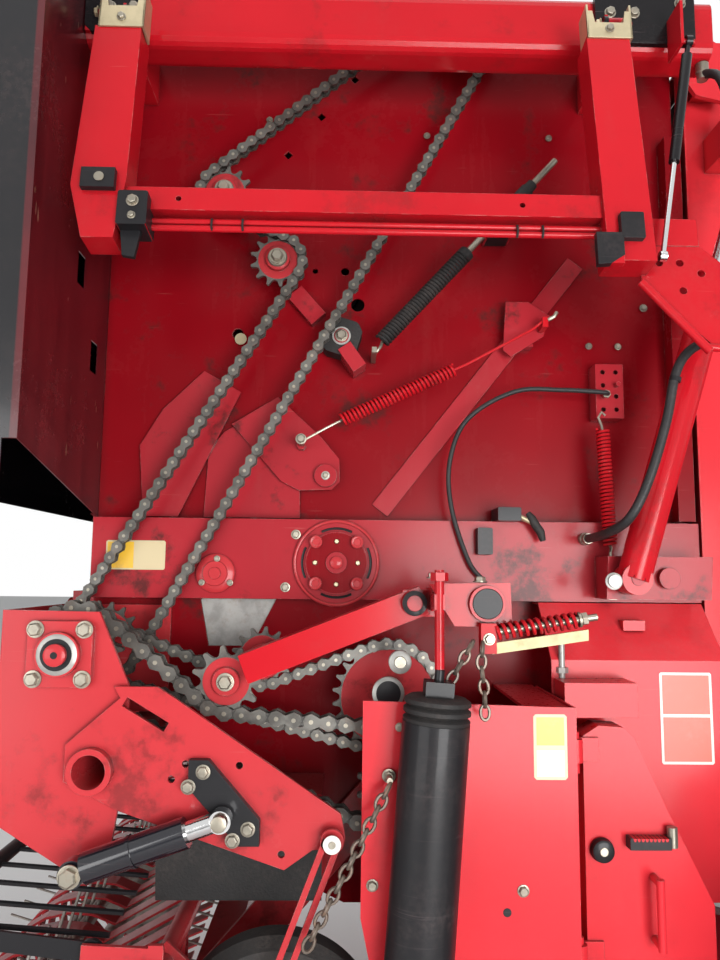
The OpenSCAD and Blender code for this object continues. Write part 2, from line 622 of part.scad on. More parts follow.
panel_y = 930;
door_y = 860;
door_hinge_y = -door_y - 14;
panel_t = 4;
module lower_panel() color(RED) both_sides() {
    xz_plate(-panel_y, panel_t, [
        [278, 1089], [641, 1080], [641, 470], [340, 470], [291, 678], [277, 741]]);
    box([637, -panel_y, 480], [641, -wall_y - channel_d - seat, 1080]);
    box([440, -panel_y, 500], [640, -wall_y - channel_d, 504]);
    box([560, -panel_y, 1070], [640, -wall_y, 1076]);
    for (z = [620, 960]) translate([655, door_hinge_y, z]) {
        cylinder(h = 70, r = 6, $fn = 24);
        translate([-16, -6, 0]) cube([16, 12, 14]);
    }
    box([320, -1030, 476], [385, -panel_y, 485.5]);
}

// Rear edge of the door, clear of the tyre
door_rear = axle_x - tyre_r - 28;
door_points = [
    [672, 1020], [701, 1038], [745, 1035], [765, 1018],
    [door_rear - 75, 889], [door_rear, 735], [door_rear, 600], [672, 600]];
module side_door() {
    color(RED) {
        difference() {
            xz_plate(-door_y, 60, door_points);
            xz_plate(-door_y + 3, 60, inset(door_points, [770, 800], 6));
        }
        for (z = [638, 978]) translate([655, door_hinge_y, z]) difference() {
            union() {
                cylinder(h = 40, r = 12, $fn = 32);
                translate([0, 8, 0]) cube([44, 7, 40]);
            }
            translate([0, 0, -1]) cylinder(h = 42, r = 6 + run, $fn = 32);
        }
        for (z = [680, 782]) rod_y([790, z], -door_y - 32, -door_y, 7);
        translate([790, -door_y - 32, 673]) cylinder(h = 116, r = 7, $fn = 24);
    }
    color(DARK) {
        rod_y([700, 828], -door_y - 14, -door_y, 18);
        box([745, -door_y - 22, 834], [815, -door_y, 852]);
    }
}

module rear_panels() color(RED) both_sides() {
    translate([645, 0, 0]) rotate([90, 0, 90]) linear_extrude(340) polygon([
        [-664, 1248], [-760, 1142], [-760, 700], [-756, 700], [-756, 1140], [-660, 1244],
        [-wall_y, 1244], [-wall_y, 1248]]);
    box([980, -756, 700], [984, -wall_y, 1140]);
    box([650, -830, 1046], [785, -760, 1108]);
    box([801, -720, 1196], [845, -690, 1216]);
}

module feed_flap() color(DARK) xz_plate(-wall_y - 150, 6, [[-104, 884.7], [207, 884.7], [209, 702], [-97, 702]]);

inner_y = wall_y - wall_t - seat;
front_rollers = [[-180, wall_top - 180], [-150, 1400], [30, 1190]];
module chamber_rollers() color(STEEL) {
    for (at = [front_rollers[0], front_rollers[1]]) rod_y(at, -inner_y, inner_y, roller_r);
    rod_y(front_rollers[2], -inner_y, inner_y, 105);
    rod_y(upper_shaft, -inner_y, inner_y, roller_r);
    both_sides() rod_y(upper_shaft, -light_y - 30, -inner_y, shaft_r);
}

module belt_set(loop) for (k = [0:belt_count - 1])
    belt(loop, (k - (belt_count - 1) / 2) * (2 * inner_y - 20) / belt_count, belt_w);
module front_belts() color(DARK) belt_set([
    [front_rollers[1][0], front_rollers[1][1], roller_r], [upper_shaft[0], upper_shaft[1], roller_r],
    [front_rollers[0][0], front_rollers[0][1], roller_r]]);

module feed_rotor() color(RED) {
    rod_y(rotor, -inner_y, inner_y, 110);
    both_sides() rod_y(rotor, -heavy_y - 24, -inner_y, shaft_r);
    // stars of tines, each turned a little from the last
    for (k = [0:11]) translate([rotor[0], -540 + k * 98, rotor[1]]) rotate([0, k * 15, 0]) rotate([90, 0, 0])
        linear_extrude(8) polygon([for (a = [0:2]) each
            [for (p = [[95, -55], [235, -8], [235, 8], [95, 55]])
                [p[0] * cos(120 * a) - p[1] * sin(120 * a), p[0] * sin(120 * a) + p[1] * cos(120 * a)]]]);
}

module roof() color(RED) xz_plate(-wall_y, 2 * wall_y, [
    [wall_front, front_top], [-190, wall_top], [split_x - split_gap, wall_top],
    [split_x - split_gap, wall_top + sheet],
    [-190, wall_top + sheet], [wall_front, front_top + 2 * sheet]]);

gate_points = [
    [split_x, gate_z - 25], [1300, gate_z - 30], [1620, gate_z - 150], [1860, 2140],
    [1975, 1800], [1990, 1500], [1950, 1180],
    [1800, 900], [1560, 740], [1200, 705], [split_x, 705]];
gate_middle = [1400, 1600];
gate_t = 5;
rim_d = 38;
module tailgate_shell() color(RED) {
    both_sides() {
        xz_plate(-wall_y, gate_t, gate_points);
        difference() {
            xz_plate(-wall_y - rim_d, rim_d, gate_points);
            xz_plate(-wall_y - rim_d - 1, rim_d + 2, inset(gate_points, gate_middle, 8));
        }
        // hinge arm, its spacer and the lug beside the ram's eye
        difference() {
            xz_plate(-wall_y - 60, 12, concat(
                arc([gate_x, gate_z], 34, 60, 240, 8),
                [[1020, gate_z - 170], [1100, gate_z - 190], [1110, gate_z - 70]]));
            rod_y([gate_x, gate_z], -wall_y - 61, -wall_y - 40, 15 + run);
        }
        box([1030, -wall_y - 48, gate_z - 150], [1095, -wall_y, gate_z - 80]);
        box([ram_tip[0] - 40, -ram_y + 35, ram_tip[1] - 40], [ram_tip[0] + 40, -wall_y, ram_tip[1] + 40]);
    }
    // rear cover and cross tubes
    xz_plate(-wall_y + gate_t, 2 * (wall_y - gate_t), [for (i = [1:4]) gate_points[i], for (i = [4:-1:1])
        inset(gate_points, gate_middle, 5)[i]]);
    for (at = [[1930, 1190], [1540, 755], [1040, gate_z - 55]]) rod_y(at, -wall_y + gate_t, wall_y - gate_t, 22);
}

gate_rollers = [[1080, 830], [1560, 860], [1850, 1260], [1868, 1740], [1520, gate_z - 210], [1080, gate_z - 130]];
gate_inner = wall_y - gate_t - seat;
module tailgate_rollers() color(STEEL) for (at = gate_rollers) rod_y(at, -gate_inner, gate_inner, 45);
module tailgate_belts() color(DARK) belt_set([for (at = gate_rollers) [at[0], at[1], 45]]);

module tail_lamps() both_sides() {
    color(RED) box([1925, -900, 1140], [1945, -wall_y - rim_d, 1180]);
    color(DARK) box([1945, -900, 1100], [1960, -690, 1200]);
    color([0.8, 0.1, 0.05]) box([1960, -890, 1110], [2025, -700, 1190]);
}

ram_angle = atan2(ram_tip[1] - ram_base[1], ram_tip[0] - ram_base[0]);
ram_length = norm(ram_tip - ram_base);
barrel_length = 640;
module along_ram() translate([ram_base[0], -ram_y, ram_base[1]]) rotate([0, 90 - ram_angle, 0]) children();
module ram_barrel() color(RED) difference() {
    union() {
        along_ram() cylinder(h = barrel_length, r = ram_r, $fn = 40);
        along_ram() translate([0, 0, barrel_length - 40]) cylinder(h = 40, r = ram_r + 5, $fn = 40);
        rod_y(ram_base, -ram_y - 24, -ram_y + 30, 30);
    }
    along_ram() translate([0, 0, 60]) cylinder(h = barrel_length, r = ram_rod_r + seat, $fn = 40);
    rod_y(ram_base, -ram_y - 30, -ram_y + 32, 12 + run);
}
module ram_rod() color(STEEL) {
    along_ram() translate([0, 0, 250]) cylinder(h = ram_length - 250, r = ram_rod_r, $fn = 40);
    rod_y(ram_tip, -ram_y - 24, -ram_y + 28, 30);
    rod_y(ram_tip, -ram_y - 34, -ram_y + 33, 12);
}
module ram_left_barrel() ram_barrel();
module ram_left_rod() ram_rod();
module ram_right_barrel() mirror([0, 1, 0]) ram_barrel();
module ram_right_rod() mirror([0, 1, 0]) ram_rod();

// Half of a tyre's section as [radius, share of the width], from bead to middle
tyre_half = [
    [rim_r + seat, -0.34], [rim_r + 16, -0.34], [rim_r + 34, -0.39], [rim_r + 90, -0.47], [rim_r + 150, -0.5],
    [tyre_r - 45, -0.485], [tyre_r - 12, -0.43], [tyre_r - 4, -0.37], [tyre_r - 1, -0.24], [tyre_r - 16, -0.235],
    [tyre_r - 16, -0.20], [tyre_r, -0.195], [tyre_r, -0.08], [tyre_r - 16, -0.075], [tyre_r - 16, -0.04],
    [tyre_r, -0.035]];
module tyre() color(DARK) translate([axle_x, -wheel_y, tyre_r]) rotate([90, 0, 0]) rotate_extrude($fn = 64)
    polygon(concat([for (p = tyre_half) [p[0], p[1] * tyre_w]],
        [for (i = [len(tyre_half) - 1:-1:0]) [tyre_half[i][0], -tyre_half[i][1] * tyre_w]]));
hub_r = 38;
rim_half = 0.345 * tyre_w;
module rim() color(ZINC) translate([axle_x, -wheel_y, tyre_r]) rotate([90, 0, 0]) difference() {
    rotate_extrude($fn = 64) polygon([
        [hub_r + run, -105], [75, -105], [75, -6], [rim_r - 8, -6], [rim_r - 8, -rim_half - 8],
        [rim_r + 14, -rim_half - 8], [rim_r + 14, -rim_half], [rim_r, -rim_half], [rim_r, rim_half],
        [rim_r + 14, rim_half], [rim_r + 14, rim_half + 8], [rim_r - 8, rim_half + 8], [rim_r - 8, 6], [75, 6],
        [75, 45], [hub_r + run, 45]]);
    for (k = [0:7]) rotate(k * 45) translate([100, 0, -30]) cylinder(h = 60, r = 8, $fn = 24);
}
module tyre_left() tyre();
module rim_left() rim();
module tyre_right() mirror([0, 1, 0]) tyre();
module rim_right() mirror([0, 1, 0]) rim();

gauge_at = [138, 510];
gauge_y = 850;
strap_low = [95, 520];
rear_beam = [-7, 500];
pivot_y = wall_y + 6;
beam_half = 790;
cross_tube = [-45, 665];
cross_r = 18;
module pickup_frame() color(RED) {
    box([-42, -beam_half, 465], [28, beam_half, 535]);
    rod_y(cross_tube, -pickup_y, pickup_y, cross_r);
    both_sides() {
        box([-57, -beam_half, 535], [-33, -beam_half + 28, 655]);
        // side plate round the reel
        difference() {
            xz_plate(-pickup_y - 6, 6, concat(arc([reel_x, reel_z], 178, 60, 300, 12),
                [[-30, 440], [28, 465], [28, 560], [-15, 690], [-75, 695]]));
            rod_y([reel_x, reel_z], -pickup_y - 7, -pickup_y + 1, 24 + run);
        }
        // arm up to the rotor's shaft
        difference() {
            union() {
                flat_bar(rear_beam, rotor, 80, -pivot_y - 12, 12);
                rod_y(rotor, -pivot_y - 12, -pivot_y, 56);
            }
            rod_y(rotor, -pivot_y - 14, -pivot_y + 2, shaft_r + run);
        }
        // bracket that carries the gauge wheel and the strap's pin
        flat_bar(cross_tube, gauge_at, 60, -917, 8, 20);
        rod_y(gauge_at, -909, -gauge_y + gauge_w / 2 + 6, 12);
        // upright with the wind guard's pin
        box([-57, -pickup_y + 8, 665], [-33, -pickup_y + 16, 720]);
        flat_bar(wind_pivot, [-45, 698], 34, -pickup_y + 8, 8, 12);
        rod_y(wind_pivot, -pickup_y + 12, -pickup_y + 40, 8);
    }
}
tine_step = (2 * pickup_y - 60) / tine_count;
band_end = cross_tube - [cross_r + seat, 0];
module pickup_bands() color(RED) for (k = [0:tine_count]) translate([0, -pickup_y + 30 + k * tine_step + 21, 0])
    rotate([90, 0, 0]) linear_extrude(42) polygon(concat(
        [band_end + [0, 3]], arc([reel_x, reel_z], 168, 60, 300, 14), [[-130, 330], [-130, 336]],
        arc([reel_x, reel_z], 163, 300, 60, 14), [band_end - [0, 3]]));

module pickup_reel() color(STEEL) translate([reel_x, 0, reel_z]) {
    rod_y([0, 0], -pickup_y - 14, pickup_y + 14, 24);
    for (y = [-pickup_y + 10, -3, pickup_y - 16]) rod_y([0, 0], y, y + 6, 128);
    for (b = [0:tine_bars - 1]) rotate([0, 360 / tine_bars * b, 0]) {
        rod_y([112, 0], -pickup_y + 10, pickup_y - 10, 14);
        for (k = [0:tine_count - 1]) strut([112, -pickup_y + 30 + (k + 0.5) * tine_step, 0],
            [tine_r - 1, -pickup_y + 30 + (k + 0.5) * tine_step, -40], 3, 6);
    }
}

wind_pivot = [-150, 703];
wind_bar = [-430, 735];
module wind_guard() color(DARK) {
    both_sides() difference() {
        union() {
            flat_bar(wind_pivot, wind_bar, 30, -pickup_y + 22, 6);
            rod_y(wind_pivot, -pickup_y + 21, -pickup_y + 29, 20);
        }
        rod_y(wind_pivot, -pickup_y + 20, -pickup_y + 30, 8 + run);
    }
    rod_y(wind_bar, -pickup_y + 22, pickup_y - 22, 14);
    for (k = [0:22]) strut([wind_bar[0], -pickup_y + 60 + k * (2 * pickup_y - 120) / 22, wind_bar[1]],
        [-132, -pickup_y + 60 + k * (2 * pickup_y - 120) / 22, 713], 5, 6);
}

module gauge_wheel() color(DARK) translate([gauge_at[0], -gauge_y, gauge_at[1]]) rotate([90, 0, 0])
    rotate_extrude($fn = 48) polygon([
        [12 + run, -gauge_w / 2], [30, -gauge_w / 2], [40, -12], [110, -12], [125, -gauge_w * 0.40],
        [165, -gauge_w / 2], [gauge_r - 12, -gauge_w * 0.44], [gauge_r, -gauge_w * 0.22],
        [gauge_r, gauge_w * 0.22], [gauge_r - 12, gauge_w * 0.44], [165, gauge_w / 2], [125, gauge_w * 0.40],
        [110, 12], [40, 12], [30, gauge_w / 2], [12 + run, gauge_w / 2]]);
module gauge_wheel_left() gauge_wheel();
module gauge_wheel_right() mirror([0, 1, 0]) gauge_wheel();

arm_y = 905;
arm_t = 8;
arm_end = [229, 863];
lift_tip = [47, 901];
arm_points = concat(
    [[-147, 1107], [-74, 1107], [-46, 1090], [243, 900]], arc(arm_end, 22, 20, -60, 4),
    [[196, 842], [149, 810], [-136, 905], [-225, 950], [-225, 1010], [-136, 1088]]);
module lift_arm() {
    color(RED) {
        difference() {
            union() {
                both_sides() xz_plate(-arm_y - arm_t, arm_t, arm_points);
                rod_y(lift_tube, -arm_y - 25, arm_y + 25, 38);
            }
            rod_y(lift_tube, -arm_y - 26, arm_y + 26, 28);
            // slot and holes in the arm
            both_sides() {
                flat_bar([-128, 1082], [-56, 1040], 17, -arm_y - 9, 10);
                for (p = [[-21, 980], [-44, 955], [70, 978], [144, 835]]) rod_y(p, -arm_y - 9, -arm_y + 1, 6);
            }
        }
        both_sides() rod_y(arm_end, -arm_y - 45, -arm_y - arm_t, 9);
    }
    color(DARK) {
        flat_bar([2, 968], [92, 872], 34, -arm_y - arm_t - 14, 16, 6);
        rod_y(lift_tip, -arm_y - arm_t - 17, -arm_y - arm_t + 3, 14);
        rod_y(lift_tip, -lift_y - 22, -arm_y - arm_t - 10, 9);
    }
    color(STEEL) for (p = [[12, 971], [-12, 947], [89, 880]])
        rod_y(p, -arm_y - arm_t - 22, -arm_y - arm_t - 14, 9, 6);
}

lift_y = 952;
lift_rod_r = 16;
lift_dir = unit([lift_tip[0] - lift_base[0], 0, lift_tip[1] - lift_base[1]]);
module along_lift() translate([lift_base[0], -lift_y, lift_base[1]])
    rotate([0, acos(lift_dir[2]), 0]) children();
module lift_barrel() color(DARK) difference() {
    union() {
        along_lift() translate([0, 0, 18]) cylinder(h = 172, r = 25, $fn = 48);
        along_lift() translate([0, 0, 96]) cylinder(h = 5, r = 27, $fn = 48);
        rod_y(lift_base, -lift_y - 14, -lift_y + 14, 22);
    }
    along_lift() translate([0, 0, 40]) cylinder(h = 160, r = lift_rod_r + seat, $fn = 40);
    rod_y(lift_base, -lift_y - 15, -lift_y + 15, 9 + run);
}
module lift_rod() color(STEEL) {
    along_lift() translate([0, 0, 70]) cylinder(h = norm(lift_tip - lift_base) - 85, r = lift_rod_r, $fn = 40);
    ring_y(lift_tip, -lift_y - 14, -lift_y + 14, 18, 9 + run);
}

module lift_straps() color(RED) both_sides() difference() {
    union() {
        flat_bar(arm_end, strap_low, 34, -arm_y - 33, 8);
        rod_y(arm_end, -arm_y - 33, -arm_y - 25, 20);
        rod_y(strap_low, -arm_y - 33, -arm_y - 25, 20);
        rod_y(strap_low, -arm_y - 25, -917 - seat, 9);
    }
    rod_y(arm_end, -arm_y - 34, -arm_y - 24, 9 + run);
}

module lean(angle) translate([0, guard_hinge[0], guard_hinge[1]]) rotate([-angle, 0, 0])
    translate([0, -guard_hinge[0], -guard_hinge[1]]) children();
leg_y = 925;
leg_d = 60;
left_leg = [[-235, 2310], [leg_w - 235, 2310], [leg_w - 238, 1988], [leg_w - 253, 1870], [-223, 1870], [-250, 1973]];
right_leg = [[689, 2310], [leg_w + 685, 2310], [leg_w + 700, 1844], [701, 1844]];
module leg(points, middle) difference() {
    xz_plate(-leg_y, leg_d, points);
    xz_plate(-leg_y + 5, leg_d, inset(points, middle, 7));
}
module hanging_legs() {
    leg(left_leg, [-195, 2080]);
    leg(right_leg, [737, 2080]);
    for (x = [-236, 750]) difference() {
        union() {
            translate([x, guard_hinge[0], guard_hinge[1]]) rotate([0, 90, 0]) cylinder(h = 34, r = 12, $fn = 32);
            box([x, guard_hinge[0] - 6, 2300], [x + 34, guard_hinge[0] + 6, guard_hinge[1] - 6]);
        }
        translate([x - 1, guard_hinge[0], guard_hinge[1]]) rotate([0, 90, 0])
            cylinder(h = 36, r = 6 + run, $fn = 32);
    }
}
module guard_frame() lean(guard_lean) {
    color(RED) {
        hanging_legs();
        difference() {
            box([-165, -leg_y + 10, 1955 - crossbar_h / 2], [700, -leg_y + 50, 1955 + crossbar_h / 2]);
            for (x = [-60, 555]) rod_y([x, 1955], -leg_y + 9, -leg_y + 51, 5);
        }
        for (z = [1921, 1908]) translate([-160, -895, z]) rotate([0, 90, 0]) cylinder(h = 866, r = 6, $fn = 24);
        box([780, -leg_y + 51, 1904], [888, -leg_y + 68, 1959]);
        difference() {
            xz_plate(-872, 6, [[783, 1906], [888, 1906], [942, 1858], [942, 1705], [901, 1705], [776, 1827]]);
            for (p = [[812, 1870], [850, 1870], [888, 1850], [852, 1815]]) rod_y(p, -873, -865, 7);
        }
        strut([774, -876, 1829], [888, -876, 1696], 8);
        strut([880, -876, 1704], [945, -876, 1700], 7);
    }
    color(DARK) {
        box([-228, -leg_y - 12, 1962], [-170, -leg_y, 1999]);
        box([-160, -leg_y - 12, 1890], [-109, -leg_y + 45, 1954]);
        box([723, -leg_y - 12, 1882], [763, -leg_y, 1931]);
        box([678, -leg_y - 12, 1832], [724, -leg_y, 1890]);
        translate([780, -892, 1866]) rotate([0, 90, 0]) cylinder(h = 10, r = 14, $fn = 24);
    }
}

strut_vector = strut_tip - strut_base;
function on_strut(share) = strut_base + share * strut_vector;
module strut_eye(at, r, h) translate([at[0] - h / 2, at[1], at[2]]) rotate([0, 90, 0])
    cylinder(h = h, r = r, $fn = 32);
module strut_barrel() color(DARK) difference() {
    union() {
        strut_eye(strut_base, 11, 12);
        strut(on_strut(0.01), on_strut(0.08), 5);
        strut(on_strut(0.07), on_strut(0.58), 10, 32);
    }
    strut_eye(strut_base, 5 + run, 14);
    strut(on_strut(0.10), on_strut(0.60), 5 + seat, 32);
}
module strut_rod() color(STEEL) {
    strut(on_strut(0.14), on_strut(0.985), 5, 32);
    strut_eye(strut_tip, 9, 12);
}

shell_points = [[leg_y, 2310], [965, 2290], [1005, 2150], [1012, 1800], [1005, 1450], [968, 1125]];
module right_guard() color(RED) {
    mirror([0, 1, 0]) hanging_legs();
    translate([-275, 0, 0]) rotate([90, 0, 90]) linear_extrude(1250)
        polygon(concat(shell_points, [for (i = [5:-1:0]) shell_points[i] - [3, 0]]));
    for (x = [-195, 735]) translate([x, 0, 0]) rotate([90, 0, 90]) linear_extrude(5)
        polygon([[leg_y - 2, 2310], [964, 2288], [1004, 2150], [1010, 1880], [leg_y - 2, 1880]]);
    box([-165, leg_y - 50, 1955 - crossbar_h / 2], [700, leg_y - 10, 1955 + crossbar_h / 2]);
}

left_wall();
right_wall();
main_frame();
axle();
drawbar();
hitch_eye();
jack_tube();
gearbox();
main_shaft();
heavy_drive();
light_drive();
net_drive();
front_hood();
bearing_plates();
top_beams();
wall_fittings();
tension_arm();
relief_spring();
wall_springs();
valve_block();
hoses();
lower_panel();
rear_panels();
feed_flap();
chamber_rollers();
front_belts();
feed_rotor();
roof();
tailgate_shell();
tailgate_rollers();
tailgate_belts();
tail_lamps();
ram_left_barrel();
ram_left_rod();
ram_right_barrel();
ram_right_rod();
tyre_left();
rim_left();
tyre_right();
rim_right();
pickup_frame();
pickup_bands();
pickup_reel();
wind_guard();
gauge_wheel_left();
gauge_wheel_right();
lift_arm();
lift_barrel();
lift_rod();
lift_straps();
guard_frame();
strut_barrel();
strut_rod();
right_guard();
side_door();
jack_leg();
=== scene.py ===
import math
import random
import bmesh
import bpy
from mathutils import Matrix, Vector


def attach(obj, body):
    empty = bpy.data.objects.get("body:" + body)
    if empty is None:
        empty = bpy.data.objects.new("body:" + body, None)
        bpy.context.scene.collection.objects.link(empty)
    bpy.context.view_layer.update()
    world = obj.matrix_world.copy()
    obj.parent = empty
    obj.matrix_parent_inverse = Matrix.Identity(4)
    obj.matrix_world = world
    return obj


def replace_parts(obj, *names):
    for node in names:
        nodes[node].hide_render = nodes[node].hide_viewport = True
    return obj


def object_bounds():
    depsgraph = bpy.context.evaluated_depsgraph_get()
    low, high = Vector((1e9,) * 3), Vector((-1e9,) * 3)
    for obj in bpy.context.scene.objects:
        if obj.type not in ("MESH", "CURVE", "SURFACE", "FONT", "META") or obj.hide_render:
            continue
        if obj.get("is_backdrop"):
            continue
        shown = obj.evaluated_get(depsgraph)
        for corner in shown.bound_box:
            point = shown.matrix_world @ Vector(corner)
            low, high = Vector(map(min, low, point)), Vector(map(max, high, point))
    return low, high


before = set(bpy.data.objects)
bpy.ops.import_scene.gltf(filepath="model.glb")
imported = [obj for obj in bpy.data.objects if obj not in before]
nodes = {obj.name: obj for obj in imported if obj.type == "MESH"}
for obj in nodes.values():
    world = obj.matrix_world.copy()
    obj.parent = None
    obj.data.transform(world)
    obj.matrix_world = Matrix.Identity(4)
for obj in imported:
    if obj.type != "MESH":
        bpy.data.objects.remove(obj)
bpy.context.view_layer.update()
random.seed(3)  # the bolt heads stand turned at random, the same way in each run

# --- Camera, floor and light ---
# The photograph's close view of the drive side, a plain pale floor, and four soft lamps round it. The background is
# white where it is seen or mirrored, and dimmer where it lights the machine.
camera = bpy.data.objects.new("camera", bpy.data.cameras.new("camera"))
camera.data.sensor_fit = "VERTICAL"
camera.data.sensor_height = 36
camera.data.lens = 29.1
camera.data.clip_end = 60
camera.matrix_world = (Matrix.Translation((0.243, -2.28, 1.30)) @ Matrix.Rotation(math.radians(-1.1), 4, "Z")
                       @ Matrix.Rotation(math.radians(97.0), 4, "X") @ Matrix.Rotation(math.radians(0.6), 4, "Z"))
bpy.context.scene.collection.objects.link(camera)
bpy.context.scene.camera = camera
bpy.context.scene.view_settings.view_transform = "Standard"

world = bpy.data.worlds.new("studio")
bpy.context.scene.world = world
world.use_nodes = True
sky = world.node_tree
dim = sky.nodes["Background"]
dim.inputs["Color"].default_value = (0.97, 0.98, 1.0, 1)
dim.inputs["Strength"].default_value = 0.36
white = sky.nodes.new("ShaderNodeBackground")
white.inputs["Color"].default_value = (1, 1, 1, 1)
rays = sky.nodes.new("ShaderNodeLightPath")
sees_white = rays.outputs["Is Camera Ray"]
for kind in ("Is Transmission Ray", "Is Glossy Ray"):
    either = sky.nodes.new("ShaderNodeMath")
    either.operation = "MAXIMUM"
    sky.links.new(sees_white, either.inputs[0])
    sky.links.new(rays.outputs[kind], either.inputs[1])
    sees_white = either.outputs[0]
choose = sky.nodes.new("ShaderNodeMixShader")
sky.links.new(sees_white, choose.inputs[0])
sky.links.new(dim.outputs[0], choose.inputs[1])
sky.links.new(white.outputs[0], choose.inputs[2])
sky.links.new(choose.outputs[0], sky.nodes["World Output"].inputs["Surface"])

for name, place, size, watts, aim in [
        ("key", (1.7, -4.6, 0.7), 2.2, 250, (0.4, -0.7, 0.8)),
        ("fill", (-3.0, -4.2, 0.9), 3.0, 120, (0.0, -0.7, 1.0)),
        ("back_light", (1.0, 5.5, 3.5), 4.0, 110, (0.4, 0.0, 1.3)),
        ("top_light", (0.4, -1.5, 6.0), 4.0, 60, (0.4, -0.3, 1.0))]:
    lamp = bpy.data.objects.new(name, bpy.data.lights.new(name, "AREA"))
    lamp.data.size = size
    lamp.data.energy = watts
    lamp.location = place
    lamp.rotation_euler = (Vector(aim) - Vector(place)).to_track_quat("-Z", "Y").to_euler()
    bpy.context.scene.collection.objects.link(lamp)

floor = bpy.data.objects.new("floor", bpy.data.meshes.new("floor"))
floor.data.from_pydata([(-40, -40, 0), (40, -40, 0), (40, 40, 0), (-40, 40, 0)], [], [(0, 1, 2, 3)])
bpy.context.scene.collection.objects.link(floor)
floor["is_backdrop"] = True
ground = bpy.data.materials.new("ground")
ground.use_nodes = True
matt = ground.node_tree.nodes["Principled BSDF"]
matt.inputs["Base Color"].default_value = (0.80, 0.80, 0.79, 1)
matt.inputs["Roughness"].default_value = 0.9
floor.data.materials.append(ground)


# --- Red paint ---
# Gloss red enamel on pressed and welded steel: dusty, thin at the edges, with oily grime round the drives, and with
# painted shade darkening its corners and creases. All detail is built from noise in the object's own coordinates, by
# the two helpers that start here.
class Wire:
    """A shader socket that takes part in sums, and that passes through any other node."""

    def __init__(self, tree, socket):
        self.tree, self.socket = tree, socket

    def plug(self, target, value):
        if isinstance(value, Wire):
            self.tree.links.new(value.socket, target)
        elif isinstance(value, (tuple, list)) and len(value) == 3 and target.type == "RGBA":
            target.default_value = (*value, 1)
        else:
            target.default_value = value

    def make(self, kind, out=0, inputs=(), **settings):
        node = self.tree.nodes.new("ShaderNode" + kind)
        for key, value in settings.items():
            setattr(node, key, value)
        for key, value in dict(inputs).items():
            self.plug(node.inputs[key], value)
        return Wire(self.tree, node.outputs[out])

    def calc(self, operation, *values):
        return self.make("Math", 0, dict(enumerate(values)), operation=operation)

    def __add__(self, other):
        return self.calc("ADD", self, other)

    def __sub__(self, other):
        return self.calc("SUBTRACT", self, other)

    def __mul__(self, other):
        return self.calc("MULTIPLY", self, other)

    def __rsub__(self, other):
        return self.calc("SUBTRACT", other, self)

    __radd__ = __add__

    def noise(self, scale, detail=3.0, rough=0.55, stretch=None):
        at = self if stretch is None else self.make("Mapping", 0, {"Vector": self, "Scale": stretch})
        return self.make("TexNoise", 0, {"Vector": at, "Scale": scale, "Detail": detail, "Roughness": rough})

    def step(self, low, high):
        """Rises softly from 0 to 1 between low and high."""
        return self.make("MapRange", 0, {"Value": self, "From Min": low, "From Max": high},
                         interpolation_type="SMOOTHSTEP")

    def tint(self, share, colour):
        """This colour with a share of another laid over it."""
        return self.make("Mix", 2, {0: share, 6: self, 7: colour}, data_type="RGBA")

    def part(self, axis):
        return self.make("SeparateXYZ", axis, {"Vector": self})


def finish(name, colour, rough, **constants):
    """A new material, its shader, and wires for place and colour to build its detail from."""
    material = bpy.data.materials.new(name)
    material.use_nodes = True
    tree = material.node_tree
    shader = tree.nodes["Principled BSDF"]
    shader.inputs["Base Color"].default_value = (*colour, 1)
    shader.inputs["Roughness"].default_value = rough
    for key, value in constants.items():
        shader.inputs[key.replace("_", " ").title().replace("Ior", "IOR")].default_value = value
    place = Wire(tree, tree.nodes.new("ShaderNodeTexCoord").outputs["Object"])
    hue = place.make("Mix", 2, {0: place.noise(2.2, 4).step(0.35, 0.7), 6: colour, 7: tuple(c * 0.86 for c in colour)},
                     data_type="RGBA")
    return material, shader, place, hue


def bump(place, height, strength, depth, normal=None):
    inputs = {"Height": height, "Strength": strength, "Distance": depth}
    if normal is not None:
        inputs["Normal"] = normal
    return place.make("Bump", 0, inputs)


